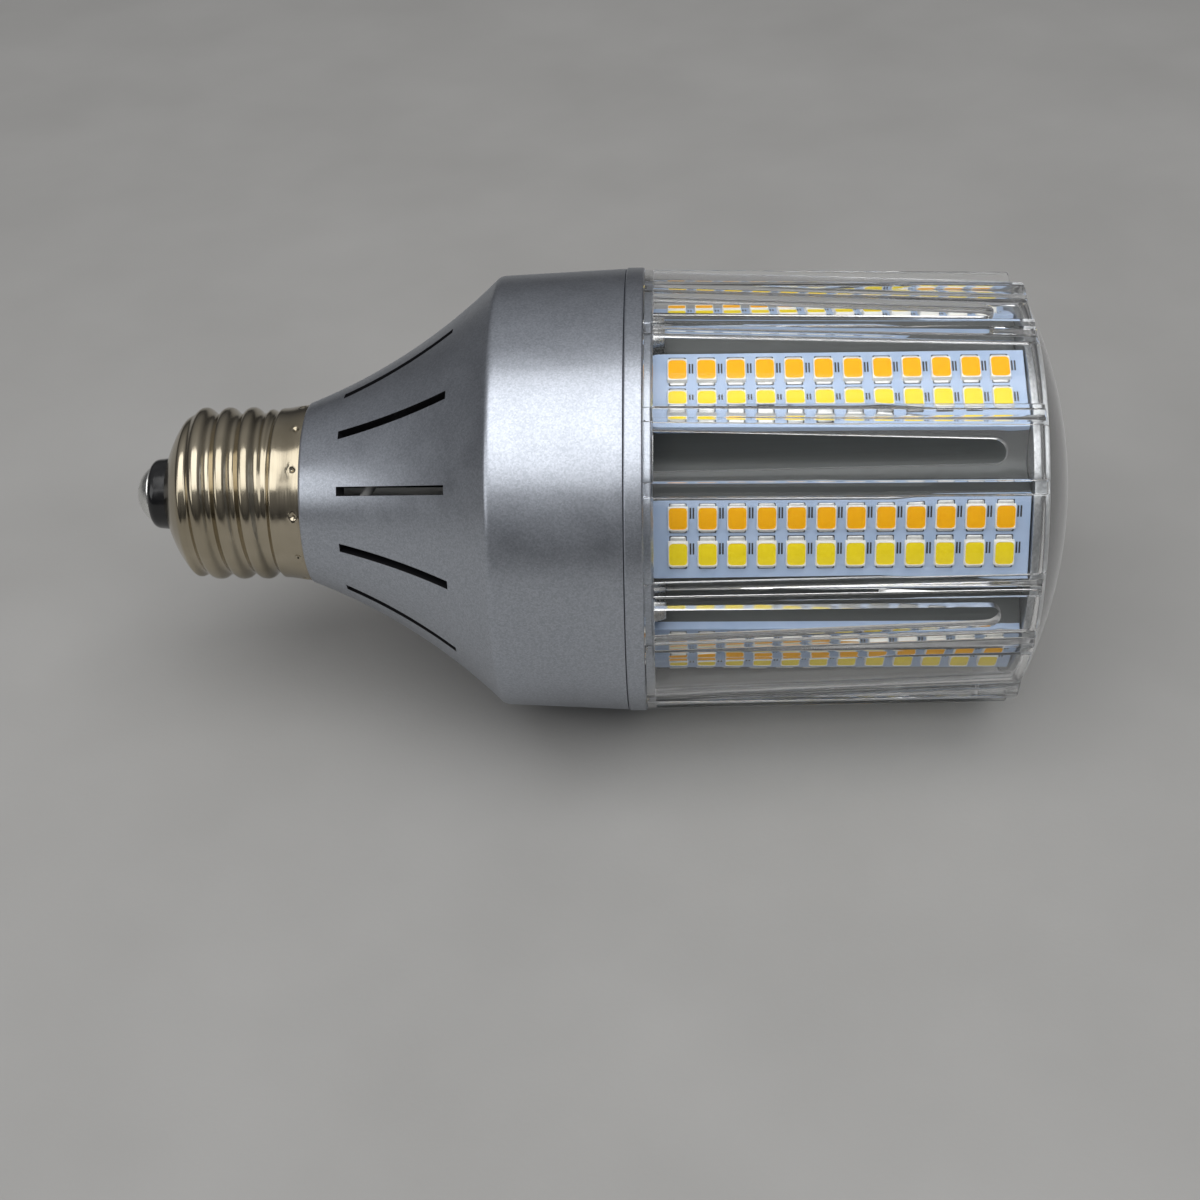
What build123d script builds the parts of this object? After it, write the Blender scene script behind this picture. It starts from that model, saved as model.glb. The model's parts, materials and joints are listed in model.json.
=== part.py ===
"""LED retrofit bulb on a medium screw base: a corn lamp with eight boards under a clear ribbed cover.

The bulb lies on its side, on the collar's edge and on two ribs of the cover, with its base towards -X.
Stations are measured along the bulb's axis, from the tip of the contact towards the head, in millimetres.
Angles about the axis start at -Y and turn downwards.
"""
import os
from math import atan, cos, radians, sin

from build123d import *

# Screw base
contact_height = 2.4
contact_inset = 0.95
contact_stem_radius = 1.5
insulator_length = 2.9
insulator_taper = 0.35
insulator_flange = 2.6
insulator_seat_thickness = 1.6
shell_wall = 0.35
shell_mouth_radius = 5.6
shoulder_length = 3.6
shoulder_fillet = 2.5
thread_crest_radius = 13.1
thread_depth = 1.0
thread_pitch = 3.629
thread_length = 13.1
thread_lead_in = 1.35
thread_ridge_width = 2.7
thread_crown_width = 1.4
thread_crown_drop = 0.2
thread_fade = 2.2
skirt_step = 0.6
skirt_rise = 0.8
skirt_flare = 0.5
skirt_length = 4.6

# Driver housing
flare_length = 29.3
flare_sagitta = 1.75
flare_lip = 0.3
flare_edge_fillet = 1.0
band_length = 18.6
band_draft = 0.85
housing_wall = 2.0
housing_corner = 0.85
neck_length = 11.0
neck_wall = 1.8
boss_radius = 2.4
boss_reach = 1.0
web_thickness = 1.6
web_clearance = 1.5
vent_count = 12
vent_width = 1.35
vent_start = 6.1
vent_length = 16.8
vent_first_angle = -36.0

# Mounting collar
collar_radius = 33.3
collar_overhang = 0.15
collar_thickness = 2.7
collar_plate = 2.2
collar_edge_chamfer = 0.3
spigot_length = 4.0
spigot_wall = 1.6
lip_height = 1.0
lip_wall = 1.2
wire_hole_radius = 8.0
post_circle = 14.5
post_radius = 2.5
post_length = 10.7

# Clear cover
cover_setback = 0.65
cover_headroom = 1.3
cover_wall = 1.6
cover_draft = 2.2
cover_turn = -1.2
flange_setback = 0.3
flange_height = 1.4
dome_rise = 7.7
dome_wall = 1.4
rib_half_angle = 13.0
rib_width = 2.0
rib_foot_height = 0.45
rib_rim_height = 1.7
rib_depth = 0.6
slot_foot_width = 5.7
slot_head_width = 3.6
slot_head_margin = 5.1

# Heat sink, boards and emitters
board_count = 8
board_first_angle = -21.3
board_thickness = 1.2
board_width = 12.0
board_margin = 0.3
board_corner = 2.0
tab_width = 7.0
tab_overrun = 0.3
core_length = 53.0
core_wall = 3.0
flat_rise = 2.4
flat_width = 11.6
end_plate_lip = 0.9
end_plate_thickness = 1.6
led_count = 12
led_width = 2.8
led_length = 3.5
led_height = 0.75
led_gap = 0.9
led_foot_margin = 4.6
led_head_margin = 3.44
warm_row = 2.9
cool_row = -2.15

# Screws
screw_count = 4
screw_crown = 0.6
collar_screw_head = 2.75
collar_screw_head_height = 3.0
collar_screw_shank = 1.45
collar_screw_length = 12.0
core_screw_head = 2.4
core_screw_head_height = 1.6
core_screw_shank = 1.45
core_screw_length = 8.0
core_screw_inset = 0.7
end_screw_head = 2.4
end_screw_head_height = 1.2
end_screw_shank = 1.45
end_screw_length = 7.0
driver_screw_head = 2.2
driver_screw_head_height = 1.6
driver_screw_shank = 1.15
driver_screw_length = 6.0

# Driver and wiring
link_board_thickness = 1.6
driver_board_thickness = 1.6
capacitor_radius = 6.3
capacitor_length = 17.0
capacitor_place = (6.5, 6.5)
transformer_width = 11.0
transformer_depth = 10.0
transformer_height = 13.0
winding_radius = 4.4
winding_height = 7.0
transformer_place = (-8.5, -8.5)
film_capacitor_width = 9.0
film_capacitor_depth = 5.0
film_capacitor_height = 9.0
film_capacitor_place = (-7.5, 8.0)
choke_radius = 3.6
choke_height = 9.0
choke_place = (6.5, -6.5)
rectifier_width = 6.5
rectifier_depth = 5.0
rectifier_height = 2.4
rectifier_place = (-8.5, 14.0)
fuse_radius = 1.8
fuse_height = 6.0
fuse_place = (15.5, 10.0)
surge_radius = 3.8
surge_thickness = 3.2
surge_place = (6.5, -14.5)
chip_width = 6.0
chip_depth = 4.0
chip_height = 1.6
chip_place = (0.0, -6.0)
lead_radius = 0.7
output_lead_count = 3
shell_lead_circle = 17.0
shell_lead_crossing_circle = 13.5
shell_lead_turn = 64.0
shell_lead_bend = 1.5

# Clearances
seat_play = 0.1
fit_play = 0.15
head_play = 0.35
board_edge_play = 0.6
screw_hole_play = 0.2
thread_hole_play = 0.05

# Stations along the axis
shell_start = contact_height + insulator_length
shoulder_end = shell_start + shoulder_length
ridge_end = shoulder_end + thread_length
skirt_start = ridge_end + skirt_step
housing_start = skirt_start + skirt_length
band_start = housing_start + flare_length
collar_start = band_start + band_length
collar_top = collar_start + collar_thickness
plate_bottom = collar_top - collar_plate
spigot_end = collar_start - spigot_length
core_end = collar_top + core_length
plate_top = core_end + end_plate_thickness
cover_rim = core_end + cover_headroom
cover_length = cover_rim - collar_top
bulb_length = cover_rim + dome_rise
link_board_top = plate_bottom - core_screw_head_height - seat_play
link_board_bottom = link_board_top - link_board_thickness
driver_board_top = plate_bottom - post_length
driver_board_bottom = driver_board_top - driver_board_thickness

# Radii of the base and the housing
insulator_tip_radius = shell_mouth_radius - insulator_taper
insulator_seat_radius = shell_mouth_radius + insulator_flange
contact_radius = insulator_tip_radius - contact_inset
thread_root_radius = thread_crest_radius - thread_depth
root_inside = thread_root_radius - shell_wall
skirt_radius = thread_root_radius + skirt_rise
skirt_edge_radius = skirt_radius + skirt_flare
flare_foot_radius = skirt_edge_radius + flare_lip
band_edge_radius = collar_radius - collar_overhang
band_foot_radius = band_edge_radius - band_draft

# Radii of the cover, and of the boards and the heat sink inside it
flange_radius = collar_radius - flange_setback
cover_foot_radius = collar_radius - cover_setback
cover_rim_radius = cover_foot_radius - cover_draft
lip_radius = cover_foot_radius - cover_wall - fit_play
board_apothem = cover_rim_radius - cover_wall - rib_depth - led_gap - led_height
tab_circle = board_apothem - board_thickness / 2
flat_radius = board_apothem - board_thickness
core_radius = flat_radius - flat_rise
end_plate_radius = board_apothem + end_plate_lip
core_screw_circle = core_radius - core_screw_inset
collar_screw_circle = lip_radius - lip_wall - head_play - collar_screw_head

# Radii of the collar's spigot and of the boards in the housing
spigot_radius = band_edge_radius - housing_wall - fit_play
spigot_draft = band_draft * spigot_length / band_length
link_board_outer_radius = spigot_radius - spigot_draft - spigot_wall - head_play
link_board_inner_radius = post_circle + post_radius + board_edge_play
driver_board_radius = collar_screw_circle - boss_radius - board_edge_play
output_lead_circle = (link_board_inner_radius + driver_board_radius) / 2

# Angles of the boards, and of the gaps between them
board_pitch = 360 / board_count
board_angles = [board_first_angle + board_pitch * index for index in range(board_count)]
gap_angles = [angle + board_pitch / 2 for angle in board_angles]
rib_angles = [
    angle + cover_turn + side * rib_half_angle for angle in board_angles for side in (-1, 1)
]
slot_angles = [angle + cover_turn for angle in gap_angles]
collar_screw_angle = gap_angles[0]
core_screw_angle = board_angles[0]
post_angle = gap_angles[0]

# The bulb lies on the collar's head-side edge and on the two ribs either side of the lowest gap
gap_half_angle = board_pitch / 2 - rib_half_angle
rib_rest_radius = (cover_rim_radius + rib_rim_height) * cos(radians(gap_half_angle))
lean = atan((collar_radius - rib_rest_radius) / cover_length)
axis_direction = Vector(cos(lean), 0, -sin(lean))
tip_height = collar_top * sin(lean) + collar_radius * cos(lean)
tip = Vector(-bulb_length * cos(lean) / 2, 0, tip_height)
bulb_axis = Axis(tip, axis_direction)


def station(distance):
    """Plane across the axis at a distance from the tip, with X towards angle 0."""
    return Plane(origin=tip + axis_direction * distance, x_dir=(0, -1, 0), z_dir=axis_direction)


def outward(angle):
    """Unit vector that points away from the axis at an angle about it."""
    across = station(0)
    return across.x_dir * cos(radians(angle)) + across.y_dir * sin(radians(angle))


def section(angle=90.0):
    """Plane through the axis, with X along the axis from the tip and Y away from it at an angle."""
    return Plane(origin=tip, x_dir=axis_direction, z_dir=axis_direction.cross(outward(angle)))


def facing(angle, radius, distance):
    """Plane that faces outwards at an angle and a radius, with X along the axis from a station."""
    out = outward(angle)
    return Plane(origin=tip + axis_direction * distance + out * radius, x_dir=axis_direction, z_dir=out)


def save(piece, name):
    """Label a finished piece and write it to its own file."""
    piece.part.label = name
    export_step(piece.part, f"parts/{name}.step")


def ring_of_screws(seat, circle, first_angle, head_radius, head_height, shank_radius, shank_length):
    """Screws on a circle, with their heads on a seat; a negative head height faces the base."""
    side = 1 if head_height > 0 else -1
    with BuildPart() as ring:
        with BuildSketch(station(seat)):
            with PolarLocations(circle, screw_count, start_angle=first_angle):
                Circle(head_radius)
        extrude(amount=head_height)
        crowns = ring.edges().group_by(bulb_axis)[-1 if side > 0 else 0]
        chamfer(crowns, screw_crown)
        with BuildSketch(station(seat)):
            with PolarLocations(circle, screw_count, start_angle=first_angle):
                Circle(shank_radius)
        extrude(amount=-side * shank_length)
    return ring


os.makedirs("parts", exist_ok=True)

# Contact button: a solder dome on an eyelet stem
with BuildPart() as contact_button:
    with BuildSketch(section()):
        with BuildLine():
            TangentArc((0, 0), (contact_height, contact_radius), tangent=(0, 1))
            Polyline(
                (contact_height, contact_radius),
                (contact_height, contact_stem_radius),
                (shell_start + insulator_seat_thickness, contact_stem_radius),
                (shell_start + insulator_seat_thickness, 0),
                (0, 0),
            )
        make_face()
    revolve(axis=bulb_axis)
save(contact_button, "contact_button")

# Base insulator: a black moulded collar, seated inside the shell's shoulder
seat_inside = shell_start + shell_wall + seat_play
seat_slope = (thread_root_radius - shell_mouth_radius) / shoulder_length
seat_cone_end = seat_inside + (insulator_seat_radius - shell_mouth_radius + seat_play) / seat_slope
with BuildPart() as base_insulator:
    with BuildSketch(section()):
        Polygon(
            (contact_height, contact_stem_radius + seat_play),
            (contact_height, insulator_tip_radius),
            (seat_inside, shell_mouth_radius - seat_play),
            (seat_cone_end, insulator_seat_radius),
            (seat_cone_end + insulator_seat_thickness, insulator_seat_radius),
            (seat_cone_end + insulator_seat_thickness, contact_stem_radius + seat_play),
            align=None,
        )
    revolve(axis=bulb_axis)
save(base_insulator, "base_insulator")

# Screw shell: thin rolled metal with a rounded right-hand thread that fades at both ends
ridge_start = shoulder_end - thread_lead_in
ridge_half = thread_ridge_width / 2
crown_half = thread_crown_width / 2
crown_edge = thread_depth - thread_crown_drop
with BuildPart() as screw_shell:
    with BuildLine(station(ridge_start)) as thread_path:
        Helix(thread_pitch, ridge_end - ridge_start, thread_root_radius, direction=axis_direction)
    with BuildSketch(Plane(thread_path.line @ 0, x_dir=axis_direction, z_dir=thread_path.line % 0)):
        Polygon(
            (-ridge_half, 0),
            (-crown_half, crown_edge),
            (0, thread_depth),
            (crown_half, crown_edge),
            (ridge_half, 0),
            (ridge_half, -thread_depth),
            (-ridge_half, -thread_depth),
            align=None,
        )
    sweep(path=thread_path.line, is_frenet=True)
    with BuildSketch(section()):
        Polygon(
            (shoulder_end, 0),
            (shoulder_end, root_inside),
            (shoulder_end + thread_fade, thread_crest_radius + thread_depth),
            (ridge_end - thread_fade, thread_crest_radius + thread_depth),
            (ridge_end, root_inside),
            (ridge_end, 0),
            align=None,
        )
    revolve(axis=bulb_axis, mode=Mode.INTERSECT)
    with BuildSketch(section()) as shell_outside:
        Polygon(
            (shell_start, 0),
            (shell_start, shell_mouth_radius),
            (shoulder_end, thread_root_radius),
            (ridge_end, thread_root_radius),
            (skirt_start, skirt_radius),
            (housing_start, skirt_edge_radius),
            (housing_start, 0),
            align=None,
        )
        shoulder = shell_outside.vertices().sort_by_distance((shoulder_end, thread_root_radius))
        fillet(shoulder[0], shoulder_fillet)
    revolve(axis=bulb_axis)
    with BuildSketch(section()) as shell_inside:
        Polygon(
            (shell_start, 0),
            (shell_start, shell_mouth_radius),
            (shell_start + shell_wall, shell_mouth_radius),
            (shoulder_end + shell_wall, root_inside),
            (ridge_end, root_inside),
            (skirt_start, skirt_radius - shell_wall),
            (housing_start, skirt_edge_radius - shell_wall),
            (housing_start, 0),
            align=None,
        )
        shoulder = shell_inside.vertices().sort_by_distance((shoulder_end, root_inside))
        fillet(shoulder[0], shoulder_fillet)
    revolve(axis=bulb_axis, mode=Mode.SUBTRACT)
save(screw_shell, "screw_shell")

# Driver housing: a flared moulded shell with a neck inside the screw shell, vents and screw bosses
neck_radius = root_inside - seat_play
neck_seat_radius = skirt_radius - shell_wall - seat_play
neck_inner_radius = neck_radius - neck_wall
flare_inner_start = housing_start + housing_wall / 3
flare_inner_foot = flare_foot_radius - housing_wall
band_inner_start = band_start + housing_corner
boss_end = band_start - boss_reach
web_top = spigot_end - fit_play
web_end = band_inner_start + web_clearance
web_reach = band_foot_radius - housing_wall / 2 - collar_screw_circle
with BuildPart() as driver_housing:
    with BuildSketch(section()) as housing_profile:
        with BuildLine():
            flare = SagittaArc(
                (housing_start, flare_foot_radius), (band_start, band_foot_radius), -flare_sagitta
            )
            Polyline(
                flare @ 1,
                (collar_start, band_edge_radius),
                (collar_start, band_edge_radius - housing_wall),
                (band_inner_start, band_foot_radius - housing_wall),
            )
            SagittaArc(
                (band_inner_start, band_foot_radius - housing_wall),
                (flare_inner_start, flare_inner_foot),
                flare_sagitta,
            )
            Polyline(
                (flare_inner_start, flare_inner_foot),
                (flare_inner_start, neck_inner_radius),
                (housing_start - neck_length, neck_inner_radius),
                (housing_start - neck_length, neck_radius),
                (ridge_end, neck_radius),
                (skirt_start, neck_seat_radius),
                (housing_start, neck_seat_radius),
                (housing_start, flare_foot_radius),
            )
        make_face()
        band_corner = housing_profile.vertices().sort_by_distance((band_start, band_foot_radius))
        fillet(band_corner[0], flare_edge_fillet)
    revolve(axis=bulb_axis)
    with BuildSketch(station(plate_bottom)):
        with PolarLocations(collar_screw_circle, screw_count, start_angle=collar_screw_angle):
            Circle(boss_radius)
    extrude(amount=boss_end - plate_bottom)
    with BuildSketch(station(web_top)):
        with PolarLocations(collar_screw_circle, screw_count, start_angle=collar_screw_angle):
            Rectangle(web_reach, web_thickness, align=(Align.MIN, Align.CENTER))
    extrude(amount=web_end - web_top)
    with BuildSketch(station(plate_bottom)):
        with PolarLocations(collar_screw_circle, screw_count, start_angle=collar_screw_angle):
            Circle(collar_screw_shank + thread_hole_play)
    extrude(amount=-collar_screw_length, mode=Mode.SUBTRACT)
    for index in range(vent_count):
        with BuildSketch(section(vent_first_angle + 360 / vent_count * index)):
            with Locations((housing_start + vent_start, 0)):
                Rectangle(vent_length, band_foot_radius, align=(Align.MIN, Align.MIN))
        extrude(amount=vent_width / 2, both=True, mode=Mode.SUBTRACT)
save(driver_housing, "driver_housing")

# Mounting collar: a ring and plate with a spigot into the housing, a lip inside the cover and four posts
with BuildPart() as mounting_collar:
    with BuildSketch(section()) as collar_profile:
        Polygon(
            (plate_bottom, wire_hole_radius),
            (collar_top, wire_hole_radius),
            (collar_top, lip_radius - lip_wall),
            (collar_top + lip_height, lip_radius - lip_wall),
            (collar_top + lip_height, lip_radius),
            (collar_top, lip_radius),
            (collar_top, collar_radius),
            (collar_start, collar_radius),
            (collar_start, spigot_radius),
            (spigot_end, spigot_radius - spigot_draft),
            (spigot_end, spigot_radius - spigot_draft - spigot_wall),
            (plate_bottom, spigot_radius - spigot_wall),
            align=None,
        )
        chamfer(collar_profile.vertices().group_by(Axis.Y)[-1], collar_edge_chamfer)
    revolve(axis=bulb_axis)
    with BuildSketch(station(plate_bottom)):
        with PolarLocations(post_circle, screw_count, start_angle=post_angle):
            Circle(post_radius)
    extrude(amount=-post_length)
    with BuildSketch(station(driver_board_top)):
        with PolarLocations(post_circle, screw_count, start_angle=post_angle):
            Circle(driver_screw_shank + thread_hole_play)
    extrude(amount=driver_screw_length, mode=Mode.SUBTRACT)
    with BuildSketch(station(plate_bottom)):
        with PolarLocations(collar_screw_circle, screw_count, start_angle=collar_screw_angle):
            Circle(collar_screw_shank + screw_hole_play)
        with PolarLocations(core_screw_circle, screw_count, start_angle=core_screw_angle):
            Circle(core_screw_shank + screw_hole_play)
        with PolarLocations(tab_circle, board_count, start_angle=board_first_angle):
            Rectangle(board_thickness + 2 * seat_play, tab_width + 2 * seat_play)
    extrude(amount=collar_plate, mode=Mode.SUBTRACT)
save(mounting_collar, "mounting_collar")

# Collar screws hold the collar to the bosses, core screws hold the heat sink to the collar
collar_screws = ring_of_screws(
    collar_top, collar_screw_circle, collar_screw_angle,
    collar_screw_head, collar_screw_head_height, collar_screw_shank, collar_screw_length,
)
save(collar_screws, "collar_screws")
core_screws = ring_of_screws(
    plate_bottom, core_screw_circle, core_screw_angle,
    core_screw_head, -core_screw_head_height, core_screw_shank, core_screw_length,
)
save(core_screws, "core_screws")

# Heat sink: an extruded tube with a raised flat behind each board, tapped at both ends
core_screw_bite = core_screw_length - collar_plate
end_screw_bite = end_screw_length - end_plate_thickness
with BuildPart() as heat_sink:
    with BuildSketch(station(collar_top)):
        Circle(core_radius)
        with PolarLocations(0, board_count, start_angle=board_first_angle):
            Rectangle(flat_radius, flat_width, align=(Align.MIN, Align.CENTER))
        Circle(core_radius - core_wall, mode=Mode.SUBTRACT)
    extrude(amount=core_length)
    with BuildSketch(station(collar_top)):
        with PolarLocations(core_screw_circle, screw_count, start_angle=core_screw_angle):
            Circle(core_screw_shank + thread_hole_play)
    extrude(amount=core_screw_bite, mode=Mode.SUBTRACT)
    with BuildSketch(station(core_end)):
        with PolarLocations(core_screw_circle, screw_count, start_angle=core_screw_angle):
            Circle(end_screw_shank + thread_hole_play)
    extrude(amount=-end_screw_bite, mode=Mode.SUBTRACT)
save(heat_sink, "heat_sink")

# LED boards with a tab through the collar, each with a warm row and a cool row of emitters
board_foot = collar_top + seat_play
board_length = core_end - board_margin + seat_play - board_foot
tab_length = board_foot - link_board_bottom + tab_overrun
led_run = board_length - led_foot_margin - led_head_margin
led_pitch = led_run / (led_count - 1)
led_middle = board_foot + led_foot_margin + led_run / 2
for number, angle in enumerate(board_angles, start=1):
    with BuildPart() as led_board:
        with BuildSketch(facing(angle, board_apothem, board_foot)) as board_outline:
            Rectangle(board_length, board_width, align=(Align.MIN, Align.CENTER))
            fillet(board_outline.vertices().group_by(Axis.X)[0], board_corner)
            Rectangle(tab_length, tab_width, align=(Align.MAX, Align.CENTER))
        extrude(amount=-board_thickness)
    save(led_board, f"led_board_{number}")
    for row_name, row in (("warm_leds", warm_row), ("cool_leds", cool_row)):
        with BuildPart() as emitters:
            with BuildSketch(facing(angle, board_apothem, led_middle)):
                with Locations((0, row)):
                    with GridLocations(led_pitch, 0, led_count, 1):
                        Rectangle(led_width, led_length)
            extrude(amount=led_height)
        save(emitters, f"{row_name}_{number}")

# End plate on the head end of the heat sink
with BuildPart() as end_plate:
    with BuildSketch(station(core_end)):
        Circle(end_plate_radius)
        with PolarLocations(core_screw_circle, screw_count, start_angle=core_screw_angle):
            Circle(end_screw_shank + screw_hole_play, mode=Mode.SUBTRACT)
    extrude(amount=end_plate_thickness)
save(end_plate, "end_plate")
end_plate_screws = ring_of_screws(
    plate_top, core_screw_circle, core_screw_angle,
    end_screw_head, end_screw_head_height, end_screw_shank, end_screw_length,
)
save(end_plate_screws, "end_plate_screws")

# Clear cover: one moulding with a flange, a drafted wall, a domed head, ribs beside each board and slots
flange_top = collar_top + flange_height
rib_foot_radius = cover_foot_radius - cover_draft * flange_height / cover_length
rim_inside = cover_rim_radius - cover_wall
rib_inside = cover_wall + rib_depth
slot_straight = cover_rim - slot_head_margin - slot_head_width / 2 - flange_top
with BuildPart() as clear_cover:
    with BuildSketch(section()):
        with BuildLine():
            Polyline(
                (collar_top, cover_foot_radius - cover_wall),
                (collar_top, flange_radius),
                (flange_top, flange_radius),
                (flange_top, rib_foot_radius),
                (cover_rim, cover_rim_radius),
            )
            TangentArc((bulb_length, 0), (cover_rim, cover_rim_radius), tangent=(0, 1))
            Line((bulb_length, 0), (bulb_length - dome_wall, 0))
            TangentArc((bulb_length - dome_wall, 0), (cover_rim, rim_inside), tangent=(0, 1))
            Line((cover_rim, rim_inside), (collar_top, cover_foot_radius - cover_wall))
        make_face()
    revolve(axis=bulb_axis)
    for rib_angle in rib_angles:
        with BuildSketch(section(rib_angle)):
            Polygon(
                (flange_top, rib_foot_radius - rib_inside),
                (flange_top, rib_foot_radius + rib_foot_height),
                (cover_rim, cover_rim_radius + rib_rim_height),
                (cover_rim, cover_rim_radius - cover_wall / 2),
                (cover_rim + dome_wall / 2, cover_rim_radius - rib_inside),
                align=None,
            )
        extrude(amount=rib_width / 2, both=True)
    for slot_angle in slot_angles:
        with BuildSketch(facing(slot_angle, core_radius, flange_top)):
            Polygon(
                (0, -slot_foot_width / 2),
                (slot_straight, -slot_head_width / 2),
                (slot_straight, slot_head_width / 2),
                (0, slot_foot_width / 2),
                align=None,
            )
            with Locations((slot_straight, 0)):
                Circle(slot_head_width / 2)
        extrude(amount=collar_radius, mode=Mode.SUBTRACT)
save(clear_cover, "clear_cover")

# Link board: a ring under the collar that takes the boards' tabs and clears the bosses
with BuildPart() as link_board:
    with BuildSketch(station(link_board_bottom)):
        Circle(link_board_outer_radius)
        Circle(link_board_inner_radius, mode=Mode.SUBTRACT)
        with PolarLocations(collar_screw_circle, screw_count, start_angle=collar_screw_angle):
            Circle(boss_radius + fit_play, mode=Mode.SUBTRACT)
        with PolarLocations(tab_circle, board_count, start_angle=board_first_angle):
            Rectangle(board_thickness + 2 * seat_play, tab_width + 2 * seat_play, mode=Mode.SUBTRACT)
    extrude(amount=link_board_thickness)
save(link_board, "link_board")

# Driver board on the collar's posts
with BuildPart() as driver_board:
    with BuildSketch(station(driver_board_bottom)):
        Circle(driver_board_radius)
        with PolarLocations(post_circle, screw_count, start_angle=post_angle):
            Circle(driver_screw_shank + screw_hole_play, mode=Mode.SUBTRACT)
    extrude(amount=driver_board_thickness)
save(driver_board, "driver_board")
driver_screws = ring_of_screws(
    driver_board_bottom, post_circle, post_angle,
    driver_screw_head, -driver_screw_head_height, driver_screw_shank, driver_screw_length,
)
save(driver_screws, "driver_screws")

# Bulk capacitor: a can with a rounded foot
with BuildPart() as bulk_capacitor:
    with BuildSketch(station(driver_board_bottom)):
        with Locations(capacitor_place):
            Circle(capacitor_radius)
    extrude(amount=-capacitor_length)
    fillet(bulk_capacitor.edges().group_by(bulb_axis)[0], capacitor_radius / 4)
save(bulk_capacitor, "bulk_capacitor")

# Transformer: a winding between the two end blocks of its core
with BuildPart() as transformer:
    with BuildSketch(station(driver_board_bottom)):
        with Locations(transformer_place):
            Rectangle(transformer_width, transformer_depth)
    block_height = (transformer_height - winding_height) / 2
    extrude(amount=-block_height)
    with BuildSketch(station(driver_board_bottom - block_height)):
        with Locations(transformer_place):
            Circle(winding_radius)
    extrude(amount=-winding_height)
    with BuildSketch(station(driver_board_bottom - block_height - winding_height)):
        with Locations(transformer_place):
            Rectangle(transformer_width, transformer_depth)
    extrude(amount=-block_height)
save(transformer, "transformer")

# Film capacitor and rectifier on the base side of the driver board, controller chip on its head side
with BuildPart() as film_capacitor:
    with BuildSketch(station(driver_board_bottom)):
        with Locations(film_capacitor_place):
            Rectangle(film_capacitor_width, film_capacitor_depth)
    extrude(amount=-film_capacitor_height)
save(film_capacitor, "film_capacitor")

with BuildPart() as rectifier:
    with BuildSketch(station(driver_board_bottom)):
        with Locations(rectifier_place):
            Rectangle(rectifier_width, rectifier_depth)
    extrude(amount=-rectifier_height)
save(rectifier, "rectifier")

with BuildPart() as controller_chip:
    with BuildSketch(station(driver_board_top)):
        with Locations(chip_place):
            Rectangle(chip_width, chip_depth)
    extrude(amount=chip_height)
save(controller_chip, "controller_chip")

# Filter choke: an upright drum
with BuildPart() as filter_choke:
    with BuildSketch(station(driver_board_bottom)):
        with Locations(choke_place):
            Circle(choke_radius)
    extrude(amount=-choke_height)
save(filter_choke, "filter_choke")

# Safety fuse: a small upright can
with BuildPart() as safety_fuse:
    with BuildSketch(station(driver_board_bottom)):
        with Locations(fuse_place):
            Circle(fuse_radius)
    extrude(amount=-fuse_height)
save(safety_fuse, "safety_fuse")

# Surge disc, standing on its edge
surge_seat = station(driver_board_bottom - surge_radius)
with BuildPart() as surge_disc:
    with BuildSketch(Plane(surge_seat.from_local_coords(surge_place), axis_direction, surge_seat.y_dir)):
        Circle(surge_radius)
    extrude(amount=surge_thickness / 2, both=True)
save(surge_disc, "surge_disc")

# Leads: from the driver board to the link board, to the contact and to the shell
with BuildPart() as output_leads:
    with BuildSketch(station(driver_board_top)):
        with PolarLocations(output_lead_circle, output_lead_count, start_angle=gap_angles[1]):
            Circle(lead_radius)
    extrude(amount=link_board_bottom - driver_board_top)
save(output_leads, "output_leads")

stem_end = shell_start + insulator_seat_thickness
with BuildPart() as contact_lead:
    with BuildSketch(station(stem_end)):
        Circle(lead_radius)
    extrude(amount=driver_board_bottom - stem_end)
save(contact_lead, "contact_lead")

neck_tip = housing_start - neck_length
lead_neck_radius = neck_inner_radius / 2
lead_fold = neck_tip - lead_radius - shell_lead_bend
lead_start_angle = vent_first_angle - shell_lead_turn
lead_end_angle = vent_first_angle + shell_lead_turn
vent_end = housing_start + vent_start + vent_length
lead_crossing = housing_start + vent_start + vent_length / 4
lead_route = (
    (driver_board_bottom, shell_lead_circle, lead_start_angle),
    (vent_end, shell_lead_circle, lead_start_angle),
    (lead_crossing, shell_lead_crossing_circle, vent_first_angle),
    (flare_inner_start, lead_neck_radius, lead_end_angle),
    (neck_tip, lead_neck_radius, lead_end_angle),
    (lead_fold, root_inside - lead_radius, lead_end_angle),
)
with BuildPart() as shell_lead:
    with BuildLine() as lead_path:
        Spline(
            *(tip + axis_direction * along + outward(angle) * away for along, away, angle in lead_route),
            tangents=(-axis_direction, outward(lead_end_angle)),
        )
    with BuildSketch(Plane(lead_path.line @ 0, z_dir=lead_path.line % 0)):
        Circle(lead_radius)
    sweep(path=lead_path.line)
save(shell_lead, "shell_lead")
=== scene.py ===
import json
import math

import bmesh
import bpy
import numpy as np
from mathutils import Matrix, Vector


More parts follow.
